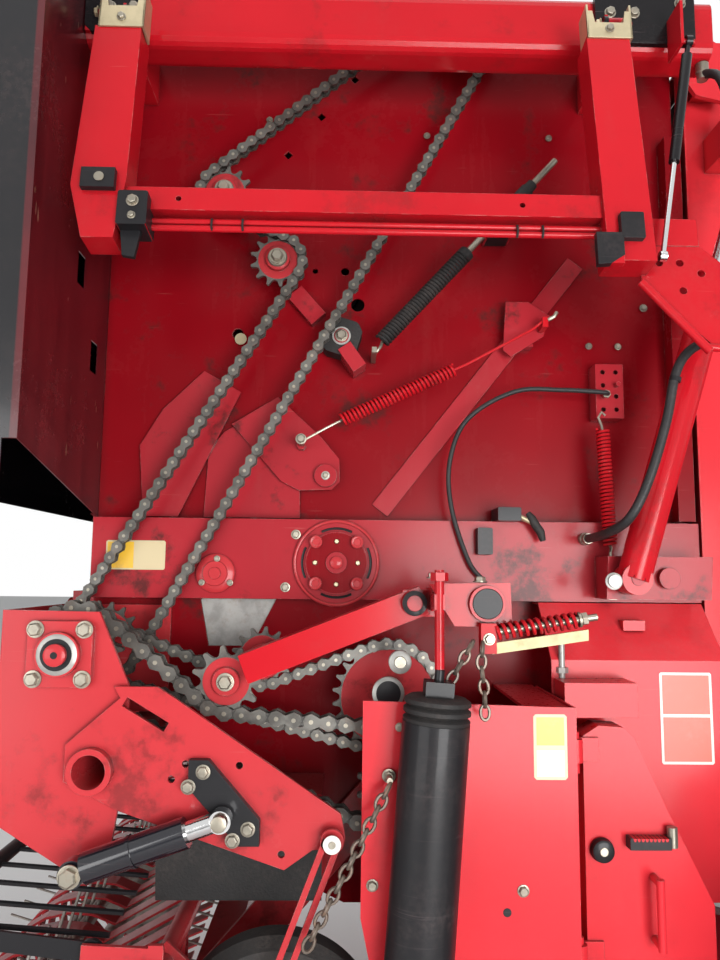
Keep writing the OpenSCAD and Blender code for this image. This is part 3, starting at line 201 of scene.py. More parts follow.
def red_paint(name, colour, rough, dust, grime, wear, edge=0.002, gloss=0.12):
    material, shader, place, hue = finish(name, colour, rough, coat_weight=gloss, coat_roughness=0.18,
                                          specular_ior_level=0.06)
    # Painted shade: an occlusion mask that finds corners and creases.
    corner_shade = place.make("AmbientOcclusion", 1, {"Distance": 0.035}, samples=4)
    up = place.make("NewGeometry", 1).part(2).step(0.35, 1.0)
    clouds = place.noise(5.0, 6, 0.62)
    fine = place.noise(90.0, 3, 0.6)
    runs = place.noise(3.0, 5, 0.6, (9.0, 9.0, 0.9))
    dusty = (up * 0.75 + clouds.step(0.5, 0.85) * 0.5 + runs.step(0.55, 0.8) * 0.25) * fine.step(0.15, 0.75) * dust
    oily = place.noise(7.0, 6, 0.7).step(0.55, 0.68) * grime
    round_normal = place.make("Bevel", 0, {"Radius": edge}, samples=3)
    true_normal = place.make("NewGeometry", 1)
    flat = place.make("VectorMath", 1, {0: round_normal, 1: true_normal}, operation="DOT_PRODUCT")
    bare = (1.0 - flat).step(0.02, 0.22) * place.noise(24.0, 5, 0.7).step(0.47, 0.62) * wear
    scratch = place.noise(14.0, 2, 0.5, (0.6, 0.6, 14.0)).step(0.72, 0.78) * wear * 0.22
    paint = hue.tint(dusty, (0.27, 0.10, 0.085)).tint(oily, (0.035, 0.014, 0.012)).tint(bare, (0.40, 0.30, 0.27))
    # The last tint is painted shade: the paint is darkened where the occlusion mask finds corners and creases.
    paint = paint.tint(scratch, (0.45, 0.16, 0.14)).tint((1.0 - corner_shade).step(0.25, 0.85) * 0.75, (0.020, 0.005, 0.005))
    place.plug(shader.inputs["Base Color"], paint)
    place.plug(shader.inputs["Roughness"], rough + dusty * 0.45 + oily * 0.12 + bare * 0.2)
    place.plug(shader.inputs["Coat Weight"], gloss - dusty * gloss)
    place.plug(shader.inputs["Normal"], bump(place, place.noise(11.0, 2) + fine * 0.03, 0.12, 0.004, round_normal))
    return material


def dress(finishes):
    """Gives each CAD node its one finish."""
    for material, names in finishes.items():
        for name in names:
            nodes[name].data.materials.clear()
            nodes[name].data.materials.append(material)


# Painted shade: the red of the walls and roof is darkened for the shade under the beams and the raised guard.
shaded_wall_red = red_paint("shaded_wall_red", (0.205, 0.0026, 0.0065), 0.27, 0.24, 0.7, 0.7, gloss=0.04)
# Partly painted sheen: the frame's red is paler and pinker. Its extra dust stands partly for real dust and partly for a
# sheen of low light.
frame_red_dust_and_sheen = red_paint("frame_red_dust_and_sheen", (0.34, 0.018, 0.026), 0.24, 0.5, 0.8, 0.9, gloss=0.2)
beam_red = red_paint("beam_red", (0.44, 0.0065, 0.013), 0.24, 0.30, 0.3, 0.7, gloss=0.3)
# Painted light: the red of the lower panel, rear panels, door and guards is brightened for the light that falls on the
# low parts.
lit_shell_red = red_paint("lit_shell_red", (0.62, 0.026, 0.036), 0.24, 0.26, 0.12, 0.6, gloss=0.2)
drive_red = red_paint("drive_red", (0.44, 0.030, 0.036), 0.26, 0.34, 0.5, 0.9, gloss=0.3)
dress({
    shaded_wall_red: ["left_wall", "right_wall", "roof"],
    frame_red_dust_and_sheen: ["main_frame", "wall_fittings", "valve_block"],
    beam_red: ["top_beams", "guard_frame", "ram_left_barrel", "ram_right_barrel", "tension_arm", "axle", "drawbar",
               "jack_tube", "gearbox"],
    lit_shell_red: ["lower_panel", "rear_panels", "side_door", "right_guard", "tailgate_shell"],
    drive_red: ["bearing_plates", "lift_arm", "lift_straps", "pickup_frame", "pickup_bands", "feed_rotor"]})


# --- Black paint, rubber, steel and the other finishes of the CAD nodes ---
# Gloss black on the hood and cylinders, dull rubber on belts and tyres, oiled steel on the drives. Behind its front
# edge the hood carries a painted wine-red reflection of the red machine, with darker painted streaks in it.
def black_paint(name, colour, rough, dust, gloss=0.12):
    material, shader, place, hue = finish(name, colour, rough, coat_weight=gloss, coat_roughness=0.1,
                                          specular_ior_level=0.15)
    scratch = place.noise(9.0, 3, 0.6, (0.5, 0.5, 18.0)).step(0.62, 0.7) * place.noise(4.0, 3).step(0.4, 0.7)
    dusty = place.noise(6.0, 6, 0.65).step(0.45, 0.85) * place.noise(120.0, 2).step(0.2, 0.8) * dust
    paint = hue.tint(dusty, (0.11, 0.08, 0.075)).tint(scratch * 0.3, (0.12, 0.09, 0.09))
    place.plug(shader.inputs["Base Color"], paint)
    place.plug(shader.inputs["Roughness"], rough + dusty * 0.4 + scratch * 0.2)
    place.plug(shader.inputs["Normal"], bump(place, place.noise(8.0, 2), 0.15, 0.004))
    return material


def rubber(name, colour, rough, dust, ribs=0.0):
    material, shader, place, hue = finish(name, colour, rough, specular_ior_level=0.25)
    dusty = place.noise(9.0, 6, 0.7).step(0.4, 0.8) * place.noise(150.0, 2).step(0.2, 0.8) * dust
    place.plug(shader.inputs["Base Color"], hue.tint(dusty, (0.13, 0.10, 0.085)))
    place.plug(shader.inputs["Roughness"], rough + dusty * 0.15)
    height = place.noise(220.0, 2)
    if ribs:
        height = height * 0.3 + place.make("TexWave", 1, {"Vector": place, "Scale": ribs}, bands_direction="Z")
    place.plug(shader.inputs["Normal"], bump(place, height, 0.5, 0.0015))
    return material


def steel(name, colour, rough, rust, grease, metallic=0.85):
    material, shader, place, hue = finish(name, colour, rough)
    rusty = place.noise(38.0, 6, 0.7).step(0.5, 0.72) * rust
    oily = place.noise(22.0, 4, 0.6).step(0.42, 0.66) * grease
    place.plug(shader.inputs["Base Color"], hue.tint(rusty, (0.20, 0.085, 0.035)).tint(oily, (0.022, 0.018, 0.014)))
    place.plug(shader.inputs["Metallic"], (1.0 - rusty) * (1.0 - oily * 0.7) * metallic)
    place.plug(shader.inputs["Roughness"], rough + rusty * 0.4 - oily * 0.08)
    place.plug(shader.inputs["Normal"], bump(place, place.noise(260.0, 3) + rusty * 0.6, 0.25, 0.0006))
    return material


gloss_black = black_paint("gloss_black", (0.007, 0.006, 0.007), 0.24, 0.22)
cylinder_black = black_paint("cylinder_black", (0.008, 0.008, 0.012), 0.2, 0.12, 1.0)
satin_black = black_paint("satin_black", (0.012, 0.0115, 0.013), 0.40, 0.28)
dull_rubber = rubber("dull_rubber", (0.016, 0.015, 0.015), 0.62, 0.35)
belt_rubber = rubber("belt_rubber", (0.030, 0.028, 0.027), 0.70, 0.5, 38.0)
tyre_rubber = rubber("tyre_rubber", (0.034, 0.032, 0.031), 0.72, 0.75)
hose_rubber = rubber("hose_rubber", (0.020, 0.019, 0.020), 0.45, 0.25)
chain_steel = steel("chain_steel", (0.135, 0.128, 0.115), 0.33, 0.2, 0.55, 0.6)
chain_dark = steel("chain_dark", (0.065, 0.060, 0.054), 0.42, 0.2, 0.8, 0.4)
link_steel = steel("link_steel", (0.16, 0.125, 0.10), 0.42, 0.6, 0.5, 0.6)
bolt_steel = steel("bolt_steel", (0.34, 0.31, 0.25), 0.34, 0.3, 0.35)
grey_steel = steel("grey_steel", (0.34, 0.33, 0.31), 0.42, 0.35, 0.3, 0.45)
reel_steel = steel("reel_steel", (0.32, 0.30, 0.27), 0.42, 0.65, 0.2)
bright_rod = steel("bright_rod", (0.72, 0.72, 0.72), 0.10, 0.0, 0.05, 1.0)
zinc_plate = steel("zinc_plate", (0.52, 0.44, 0.28), 0.36, 0.14, 0.15, 0.7)
wheel_paint = black_paint("wheel_paint", (0.60, 0.58, 0.53), 0.40, 0.5)
hood_paint, shader, place, hue = finish("hood_paint", (0.006, 0.0055, 0.007), 0.24, coat_weight=0.4,
                                        coat_roughness=0.10, specular_ior_level=0.3)
hood_edge = -0.300
# Painted reflection: behind the front edge the black hood is tinted wine red, with darker streaks, for the red machine
# mirrored in it.
reflected_side = place.part(0).step(hood_edge, hood_edge + 0.005)
reflection_streak = place.noise(6.0, 5, 0.6, (1.0, 4.0, 0.5)).step(0.35, 0.75)
dusty = place.noise(90.0, 3).step(0.3, 0.8) * place.noise(4.0, 5).step(0.45, 0.8) * 0.25
chips = place.noise(46.0, 2, 0.5, (1.0, 1.0, 0.22)).step(0.70, 0.74) * place.noise(5.0, 3).step(0.45, 0.6)
hood_tone_and_reflection = hue.tint(reflected_side, (0.085, 0.008, 0.011)).tint(reflected_side * reflection_streak * 0.75, (0.018, 0.004, 0.006))
hood_tone_and_reflection = hood_tone_and_reflection.tint(dusty, (0.10, 0.06, 0.055)).tint(chips * 0.8, (0.34, 0.20, 0.12))
place.plug(shader.inputs["Base Color"], hood_tone_and_reflection)
place.plug(shader.inputs["Roughness"], dusty * 0.5 + chips * 0.3 + 0.24)
lens_red, shader, place, hue = finish("lens_red", (0.50, 0.012, 0.01), 0.12, coat_weight=0.6, coat_roughness=0.05)
place.plug(shader.inputs["Base Color"], hue)
facets = place.make("TexVoronoi", 0, {"Vector": place, "Scale": 140.0})
place.plug(shader.inputs["Normal"], bump(place, facets, 0.6, 0.001))
dress({
    hood_paint: ["front_hood"], cylinder_black: ["lift_barrel"], gloss_black: ["strut_barrel"],
    satin_black: ["hitch_eye", "wind_guard", "relief_spring"], dull_rubber: ["feed_flap"],
    belt_rubber: ["front_belts", "tailgate_belts"], hose_rubber: ["hoses"],
    tyre_rubber: ["tyre_left", "tyre_right", "gauge_wheel_left", "gauge_wheel_right"],
    chain_steel: ["heavy_drive", "light_drive", "net_drive", "wall_springs", "main_shaft"],
    grey_steel: ["chamber_rollers", "tailgate_rollers", "jack_leg"], reel_steel: ["pickup_reel"],
    bright_rod: ["ram_left_rod", "ram_right_rod", "lift_rod", "strut_rod"],
    wheel_paint: ["rim_left", "rim_right"], lens_red: ["tail_lamps"]})

# --- Roller chains and sprockets ---
# Three oiled roller chains with side plates, rollers and pins, on cut steel sprockets whose red paint has worn off the
# teeth. Each chain is laid pitch by pitch round the same wheels as its solid, and takes the solid's place.
mm = 0.001


class Shape:
    """Faces gathered in millimetres, then made into one object. A face's kind is its place in the list of materials."""

    def __init__(self):
        self.points, self.faces, self.kinds = [], [], []

    def add(self, points, faces, kind=0):
        start = len(self.points)
        self.points += [tuple(p) for p in points]
        self.faces += [[start + i for i in face] for face in faces]
        self.kinds += [kind] * len(faces)

    def prism(self, outline, y0, y1, kind=0):
        """An outline in X and Z between two planes of Y."""
        n = len(outline)
        turn = sum(a[0] * b[1] - b[0] * a[1] for a, b in zip(outline, outline[1:] + outline[:1]))
        outline = outline if turn > 0 else outline[::-1]
        self.add([(x, y0, z) for x, z in outline] + [(x, y1, z) for x, z in outline],
                 [list(range(n)), list(range(2 * n - 1, n - 1, -1))] +
                 [[(i + 1) % n, i, n + i, n + (i + 1) % n] for i in range(n)], kind)

    def rings(self, rings, kind=0, closed=False):
        """Skin over rings of points, capped at both ends unless it is closed."""
        n, count = len(rings[0]), len(rings)
        faces = [[(i % count) * n + k, (i % count) * n + (k + 1) % n, ((i + 1) % count) * n + (k + 1) % n,
                  ((i + 1) % count) * n + k] for i in range(count if closed else count - 1) for k in range(n)]
        if not closed:
            faces += [list(range(n - 1, -1, -1)), list(range((count - 1) * n, count * n))]
        self.add([p for ring in rings for p in ring], faces, kind)

    def tube(self, route, radius, sides=8, kind=0):
        """A round bar along points; radius may be a list with one value for each point."""
        route = [Vector(p) for p in route]
        radii = radius if isinstance(radius, list) else [radius] * len(route)
        ahead = [(route[min(i + 1, len(route) - 1)] - route[max(i - 1, 0)]).normalized() for i in range(len(route))]
        side = ahead[0].orthogonal().normalized()
        rings = []
        for place, along, size in zip(route, ahead, radii):
            side = (side - along * side.dot(along)).normalized()
            up = along.cross(side)
            rings.append([place + size * (math.cos(t) * side + math.sin(t) * up)
                          for t in [math.tau * k / sides for k in range(sides)]])
        self.rings(rings, kind)

    def turned(self, at, along, profile, sides=24, kind=0, twist=0.0):
        """A body of revolution from at: profile gives (distance along the axis, radius)."""
        along = Vector(along).normalized()
        side = along.orthogonal().normalized()
        up = along.cross(side)
        self.rings([[Vector(at) + along * d + r * (math.cos(t) * side + math.sin(t) * up)
                     for t in [math.tau * k / sides + twist for k in range(sides)]] for d, r in profile], kind)

    def bolt(self, at, out, size=8.0, kind=0, washer=True):
        """A hexagon head on a washer, its axis along out."""
        if washer:
            self.turned(at, out, [(0, size * 1.25), (size * 0.22, size * 1.25), (size * 0.24, size * 1.1)], 20, kind)
        start = Vector(at) + Vector(out).normalized() * size * 0.2
        self.turned(start, out, [(0, size), (size * 0.62, size), (size * 0.8, size * 0.8)], 6, kind, random.random())

    def make(self, name, body, slot, materials, smooth=38, bevel=0.0):
        mesh = bpy.data.meshes.new(name)
        mesh.from_pydata([Vector(p) * mm for p in self.points], [], self.faces)
        mesh.polygons.foreach_set("material_index", self.kinds)
        for material in materials:
            mesh.materials.append(material)
        mesh.validate()
        shaped = bmesh.new()
        shaped.from_mesh(mesh)
        bmesh.ops.recalc_face_normals(shaped, faces=shaped.faces)
        shaped.to_mesh(mesh)
        shaped.free()
        mesh.shade_smooth()
        mesh.set_sharp_from_angle(angle=math.radians(smooth))
        piece = bpy.data.objects.new(name, mesh)
        bpy.context.scene.collection.objects.link(piece)
        if bevel:
            trim = piece.modifiers.new("edges", "BEVEL")
            trim.width, trim.segments = bevel * mm, 2
            trim.limit_method, trim.angle_limit = "ANGLE", math.radians(40)
            trim.harden_normals = True
        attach(piece, body)
        return piece


def wheel_loop(wheels, pitch):
    """Pins of a chain round wheels of (x, z, radius), radius negative where the wheel lies outside the loop."""
    turns = []
    for a, b in zip(wheels, wheels[1:] + wheels[:1]):
        d = math.hypot(b[0] - a[0], b[1] - a[1])
        turns.append(math.atan2(b[1] - a[1], b[0] - a[0]) - math.asin((b[2] - a[2]) / d))
    path = []
    steps = 24
    for i, (x, z, r) in enumerate(wheels):
        before, after = turns[i - 1], turns[i]
        sweep = (after - before) % math.tau if r > 0 else -((before - after) % math.tau)
        path += [(x + r * math.sin(before + sweep * k / steps), z - r * math.cos(before + sweep * k / steps))
                 for k in range(steps + 1)]
    path.append(path[0])
    lengths = [math.dist(a, b) for a, b in zip(path, path[1:])]
    count = 2 * round(sum(lengths) / pitch / 2)
    step = sum(lengths) / count
    pins, i, gone = [], 0, 0.0
    for k in range(count):
        while gone + lengths[i] < k * step - 1e-6:
            gone += lengths[i]
            i += 1
        share = (k * step - gone) / lengths[i]
        pins.append((path[i][0] + share * (path[i + 1][0] - path[i][0]),
                     path[i][1] + share * (path[i + 1][1] - path[i][1])))
    return pins


chain_set = [chain_steel, red_paint("worn_red", (0.42, 0.030, 0.036), 0.36, 0.35, 0.7, 1.6), bolt_steel, chain_dark]
plate_kind, red_kind, zinc_kind, dark_kind = range(4)


def lay_chain(shape, wheels, pitch, y):
    """Inner and outer links with rollers; the widths keep the proportions of standard roller chain."""
    pins = wheel_loop(wheels, pitch)
    half, thick, tall = pitch * 0.29, pitch * 0.095, pitch * 0.46
    for i, a in enumerate(pins):
        b = pins[(i + 1) % len(pins)]
        along = Vector((b[0] - a[0], b[1] - a[1])).normalized()
        up = Vector((-along.y, along.x))
        outline = []
        for centre, start in ((b, -90), (a, 90)):
            for k in range(5):
                t = math.radians(start + 45 * k)
                outline.append(Vector(centre) + tall * (math.cos(t) * along + math.sin(t) * up))
            middle = Vector(centre).lerp(Vector(a if centre is b else b), 0.5)
            outline.append(middle + up * tall * (0.5 if centre is b else -0.5))
        outer = i % 2 * thick * 1.1
        for face in (-1, 1):
            low_y, high_y = sorted((y + face * (half + outer), y + face * (half + outer + thick)))
            shape.prism([tuple(p) for p in outline], low_y, high_y, plate_kind if outer else dark_kind)
        reach = half + thick * 2.6
        shape.turned((a[0], y - reach, a[1]), (0, 1, 0), [(0, pitch * 0.13), (2 * reach, pitch * 0.13)], 10, zinc_kind)
        shape.turned((a[0], y - half, a[1]), (0, 1, 0), [(0, pitch * 0.3), (2 * half, pitch * 0.3)], 10, dark_kind)


def cut_sprocket(shape, x, z, teeth, pitch, y, thick):
    """A toothed disc: red on its flat faces, bare where the chain runs."""
    root = pitch / 2 / math.sin(math.pi / teeth)
    outline = []
    for i in range(teeth):
        for share, rise in ((-0.30, -0.26), (-0.20, -0.10), (-0.10, 0.22), (0.0, 0.27), (0.10, 0.22), (0.20, -0.10),
                            (0.30, -0.26), (0.5, -0.33)):
            t = math.tau * (i + share) / teeth
            outline.append((x + (root + rise * pitch) * math.cos(t), z + (root + rise * pitch) * math.sin(t)))
    shape.prism(outline, y - thick / 2, y + thick / 2, plate_kind)
    disc = root - pitch * 0.42
    shape.turned((x, y - thick / 2 - 0.8, z), (0, 1, 0),
                 [(0, disc - 1), (0.8, disc), (thick + 0.8, disc), (thick + 1.6, disc - 1)], 40, red_kind)


def idler_boss(shape, x, y, z, depth):
    """A red boss from the idler's face back to the wall, with its plated washer and bolt."""
    shape.turned((x, y, z), (0, 1, 0), [(0, 22), (3, 26), (depth, 26)], 28, red_kind)
    shape.turned((x, y - 3, z), (0, 1, 0), [(0, 19), (3, 21)], 28, zinc_kind)
    shape.bolt((x, y - 3, z), (0, -1, 0), 13, zinc_kind)


heavy, light = 31.75, 25.4
heavy_15, heavy_19, heavy_11 = [heavy / 2 / math.sin(math.pi / n) for n in (15, 19, 11)]
light_19, light_13, light_25 = [light / 2 / math.sin(math.pi / n) for n in (19, 13, 25)]
# Centres of the shafts as (x, z), and the plane that each chain runs in.
main, rotor, upper = (-245, 1160), (375, 922), (505, 2530)
outer_idler, net_wheel, net_idler = (30, 1105), (331, 1067), (86, 1140)
high_idler, low_idler = (-25, 2120), (93, 1969)
heavy_y, net_y, light_y = -815, -740, -680
drive = Shape()
lay_chain(drive, [(*main, heavy_15), (*rotor, heavy_19), (*outer_idler, -heavy_11)], heavy, heavy_y)
for wheel, teeth in ((main, 15), (rotor, 19), (outer_idler, 11)):
    cut_sprocket(drive, *wheel, teeth, heavy, heavy_y, 15)
drive.turned((main[0], heavy_y - 20, main[1]), (0, 1, 0), [(0, 38), (2, 40), (38, 40), (40, 38)], 32, red_kind)
drive.turned((30, heavy_y - 17, 1105), (0, 1, 0), [(0, 24), (2, 26), (34, 26)], 28, red_kind)
drive.bolt((30, heavy_y - 17, 1105), (0, -1, 0), 13, zinc_kind)
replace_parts(drive.make("heavy_chain", "chassis", "chain_steel", chain_set), "heavy_drive")
drive = Shape()
lay_chain(drive, [(*main, light_19), (*upper, light_19), (*high_idler, light_13), (*low_idler, -light_13)],
          light, light_y)
for wheel, teeth in ((main, 19), (upper, 19), (high_idler, 13), (low_idler, 13)):
    cut_sprocket(drive, *wheel, teeth, light, light_y, 8)
for x, z in (high_idler, low_idler):
    idler_boss(drive, x, light_y - 18, z, 80)
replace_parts(drive.make("light_chain", "chassis", "chain_steel", chain_set), "light_drive")
drive = Shape()
lay_chain(drive, [(*main, light_13), (*net_wheel, light_25), (*net_idler, -light_13)], light, net_y)
for wheel, teeth in ((main, 13), (net_wheel, 25), (net_idler, 13)):
    cut_sprocket(drive, *wheel, teeth, light, net_y, 8)
idler_boss(drive, net_idler[0], net_y - 18, net_idler[1], 147)
drive.turned((net_wheel[0], net_y - 22, net_wheel[1]), (0, 1, 0), [(0, 18), (2, 20), (151, 20)], 28, zinc_kind)
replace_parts(drive.make("net_chain", "chassis", "chain_steel", chain_set), "net_drive")


# --- Coil springs on the wall ---
# Wound steel wire: one black and three red springs, hooked to brackets that are welded to the wall, with their
# threaded rods and one cream slotted bar.
def coil(shape, a, b, y, radius, wire, turns, kind):
    a, b = Vector((a[0], y, a[1])), Vector((b[0], y, b[1]))
    along = (b - a).normalized()
    side = along.cross(Vector((0, 1, 0))).normalized()
    up = along.cross(side)
    per_turn = 12
    steps = turns * per_turn
    route = []
    for k in range(steps + 1):
        t = math.tau * k / per_turn
        route.append(a.lerp(b, k / steps) + (radius - wire) * (math.cos(t) * side + math.sin(t) * up))
    shape.tube(route, wire, 6, kind)


def rod(shape, a, b, y, radius, kind):
    shape.tube([(a[0], y, a[1]), (b[0], y, b[1])], radius, 10, kind)


spring_red = red_paint("spring_red", (0.46, 0.008, 0.014), 0.35, 0.2, 0.85, 0.9, 0.0005)
cream = steel("cream_zinc", (0.50, 0.43, 0.22), 0.5, 0.3, 0.25, 0.2)
springs = Shape()
# The black spring with its threaded rod and sleeve.
coil(springs, (317, 1792), (493, 1985), -690, 18, 3.4, 34, 1)
springs.tube([(300, -690, 1771), (306, -690, 1768), (314, -690, 1779), (318, -684, 1792)], 3.4, 8, 0)
rod(springs, (488, 1979), (693, 2204), -690, 7, 0)
black_axis = (205, 0, 225)
springs.turned((489, -690, 1980), black_axis, [(0, 15), (2, 17), (14, 17), (16, 15)], 18, 1)
springs.turned((568, -690, 2067), black_axis, [(0, 10), (5, 15), (92, 15), (98, 12), (110, 12)], 18, 1)
springs.prism([(575, 2060), (588, 2060), (588, 2092), (575, 2092)], -701, -680, 1)
springs.prism([(296, 1765), (306, 1765), (306, 1777), (296, 1777)], -696, -610, 0)
# The long red spring across the wall.
coil(springs, (235, 1623), (472, 1735), -680, 15, 2.9, 30, 2)
springs.tube([(150, -683, 1580), (156, -683, 1578), (200, -680, 1604), (230, -680, 1620), (240, -672, 1626)], 2.6, 8, 0)
springs.tube([(468, -680, 1733), (500, -680, 1748), (640, -680, 1826), (664, -680, 1846)], 2.9, 8, 2)
springs.bolt((150, -687, 1580), (0, -1, 0), 9, 0)
springs.prism([(145, 1572), (155, 1572), (155, 1588), (145, 1588)], -686, -644, 0)
springs.prism([(660, 1830), (672, 1830), (672, 1852), (660, 1852)], -686, -644, 2)
springs.tube([(672, -684, 1846), (684, -688, 1852), (690, -688, 1862)], 4, 8, 0)
# The upright red spring under the valve block.
coil(springs, (791, 1368), (782, 1610), -686, 15, 3.0, 31, 2)
springs.tube([(782, -686, 1604), (782, -679, 1618), (776, -679, 1636), (783, -679, 1648), (790, -681, 1640)], 3, 8, 0)
springs.tube([(791, -686, 1330), (791, -686, 1352), (796, -678, 1362), (791, -674, 1372)], 3, 8, 0)
springs.prism([(783, 1256), (799, 1256), (799, 1336), (783, 1336)], -694, -660, 0)
# The red spring over the lift arm, on its own rod, with the cream bar below.
coil(springs, (500, 1207), (640, 1229), -956, 15, 3.3, 12, 2)
rod(springs, (478, 1204), (672, 1234), -956, 6, 0)
low_axis = (31, 0, 5)
springs.turned((640, -956, 1229), low_axis, [(0, 13), (4, 13)], 24, 0)
springs.turned((646, -956, 1230), low_axis, [(0, 11), (9, 11)], 6, 0)
springs.prism([(494, 1171), (656, 1195), (656, 1213), (494, 1189)], -960, -952, 3)
springs.prism([(474, 1172), (500, 1172), (500, 1222), (474, 1222)], -964, -938, 2)
springs.bolt((487, -964, 1196), (0, -1, 0), 8, 0)
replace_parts(springs.make("coil_springs", "chassis", "chain_steel", [bolt_steel, dull_rubber, spring_red, cream]),
            "wall_springs")


# --- Guard hinges and brackets ---
# Black gloss steel plates bolted to the top beams, with the pins that the guard swings on. On the guard's legs, zinc
# caps at the upper ends, black irons below, and clips that hold its thin rails.
hinge_y, hinge_z = -874, 2388
leg_face = -938


def leaned(shape, angle=6.5):
    """Swings what was drawn upright round the hinge line to the guard's rest pose."""
    c, s = math.cos(math.radians(angle)), math.sin(math.radians(angle))
    shape.points = [(x, hinge_y + (y - hinge_y) * c + (z - hinge_z) * s,
                     hinge_z - (y - hinge_y) * s + (z - hinge_z) * c) for x, y, z in shape.points]
    return shape


def plate(shape, x0, x1, z0, z1, y0, y1, kind=0, cut=0):
    """An upright plate, its corners cut off where cut is given."""
    outline = [(x0, z0), (x1, z0), (x1, z1), (x0, z1)]
    if cut:
        outline = [(x0 + cut, z0), (x1 - cut, z0), (x1, z0 + cut), (x1, z1 - cut), (x1 - cut, z1), (x0 + cut, z1),
                   (x0, z1 - cut), (x0, z0 + cut)]
    shape.prism(outline, y0, y1, kind)


plates = Shape()
for side in (-1, 1):
    front, back = sorted((side * 857, side * 844))
    for x0, x1 in ((-284, -167), (733, 935)):
        plate(plates, x0, x1, 2363, 2479, front, back, 0, 12)
    for x, z in ((-270, 2445), (-234, 2414), (-188, 2414), (-182, 2452), (763, 2427), (811, 2427), (747, 2390),
                 (791, 2388), (905, 2450)):
        plates.bolt((x, side * 857, z), (0, side, 0), 9.5, 1)
    for x in (-244, 742):
        for ear in (0, 44):
            plates.turned((x + ear - 1, -side * hinge_y, hinge_z), (1, 0, 0), [(0, 15), (8, 15)], 24, 0)
        plates.bolt((x - 6, -side * hinge_y, hinge_z), (-1, 0, 0), 9, 2)
plates.make("hinge_plates", "chassis", "black_paint", [gloss_black, bolt_steel, zinc_plate], bevel=1.2)

irons = Shape()
for x0, x1, z0, z1 in ((-229, -144, 2306, 2378), (690, 776, 2306, 2366)):
    irons.prism([(x0, z0), (x1, z0), (x1, z1), (x1 - 12, z1), (x1 - 16, z1 - 26), (x0 + 16, z1 - 26), (x0 + 12, z1),
                 (x0, z1)], -929, -925.2, 0)
    for x in (x0, x1 - 4):
        irons.prism([(x, z0), (x + 4, z0), (x + 4, z1 + 14), (x, z1 + 14)], -929, -884, 0)
    irons.bolt(((x0 + x1) / 2, -929, z0 + 20), (0, -1, 0), 7, 3)
plate(irons, -229, -169, 1961, 2000, leg_face, -924, 1)
plate(irons, -161, -108, 1889, 1955, leg_face, -879, 1, 3)
irons.prism([(-152, 1842), (-130, 1838), (-122, 1890), (-158, 1890)], -916, -906, 1)
plate(irons, 722, 764, 1881, 1932, leg_face, -924, 1, 2)
irons.prism([(677, 1829), (700, 1831), (725, 1848), (725, 1891), (677, 1891)], leg_face, -924, 1)
irons.turned((-196, leg_face, 1980), (0, -1, 0), [(0, 9), (3, 9)], 20, 3)
irons.bolt((-134, leg_face, 1934), (0, -1, 0), 9, 3)
irons.bolt((-134, leg_face, 1906), (0, -1, 0), 6, 3)
irons.turned((779, -892, 1866), (1, 0, 0), [(0, 15), (12, 15)], 24, 1)
for x in (547, 593):
    irons.tube([(x, -898, 1923), (x, -904, 1921), (x, -905, 1908), (x, -898, 1900)], 2.2, 6, 2)
for x in (-1, 54):
    irons.tube([(x, -898, 1925), (x, -904, 1922), (x, -905, 1908), (x, -898, 1903)], 2.2, 6, 2)
leaned(irons).make("guard_irons", "guard_frame", "black_paint", [zinc_plate, satin_black, dull_rubber, bolt_steel],
                   bevel=0.8)


# --- Hardware of the chassis ---
# Bolts, bearing rings, the rubber block, clamps and the T latch: plated steel, satin black castings and red bosses,
# each set on the face it is screwed to.
fittings = Shape()
wall_y, channel_y = -616, -660
for x, y, z, size in (
        (-287, -910, 1202, 12), (-203, -910, 1202, 12), (-287, -910, 1118, 12), (-203, -910, 1118, 12),
        (-187, -972, 820, 15), (142, channel_y, 1383, 8), (122, channel_y, 1274, 8),
        (-48, -673, 1282, 5), (10, -673, 1282, 5), (-18, -673, 1331, 5),
        (296, -930, 793, 8), (546, -930, 785, 8), (340, -930, 1046, 6), (780, wall_y, 1810, 6), (845, wall_y, 1810, 6),
        (905, wall_y, 2200, 7), (905, wall_y, 1900, 7), (420, wall_y, 2300, 6), (700, wall_y, 2300, 6),
        (60, wall_y, 2330, 6)):
    fittings.bolt((x, y, z), (0, -1, 0), size, 0)
for x, z in ((401, 1296), (483, 1290)):
    fittings.bolt((x, -905, z), (0, 0, 1), 10, 0)
# The main shaft's end in its bearing.
fittings.turned((main[0], -899, main[1]), (0, -1, 0), [(0, 46), (5, 46), (8, 42), (10, 36), (23, 35), (25, 31)], 40, 1)
fittings.turned((main[0], -924, main[1]), (0, -1, 0), [(0, 27), (1.2, 27)], 36, 2)
fittings.turned((main[0], -925, main[1]), (0, -1, 0), [(0, 19), (8, 19), (10, 16)], 32, 3)
fittings.turned((main[0], -935, main[1]), (0, -1, 0), [(0, 6), (0.6, 6)], 20, 2)
fittings.turned((-22, channel_y, 1301), (0, -1, 0), [(0, 40), (6, 40), (8, 37), (10, 26), (13, 25)], 36, 3)
fittings.turned((-22, -673, 1301), (0, -1, 0), [(0, 12), (3, 12)], 24, 3)
# The round cover on the channel: a thin dark disc of painted shade in its recess, a rim, four bosses, and four black
# arcs of painted shade in its grooves.
hub_x, hub_z = 227, 1325
fittings.turned((hub_x, -678, hub_z), (0, -1, 0), [(0, 13), (5, 13), (7, 10)], 24, 3)
# Painted shade: a thin disc of the darkened red over the cover's recess.
fittings.turned((hub_x, -672.1, hub_z), (0, -1, 0), [(0, 62), (0.3, 62)], 48, 6)


def on_hub(radius, turn, y):
    return hub_x + radius * math.cos(turn), y, hub_z + radius * math.sin(turn)


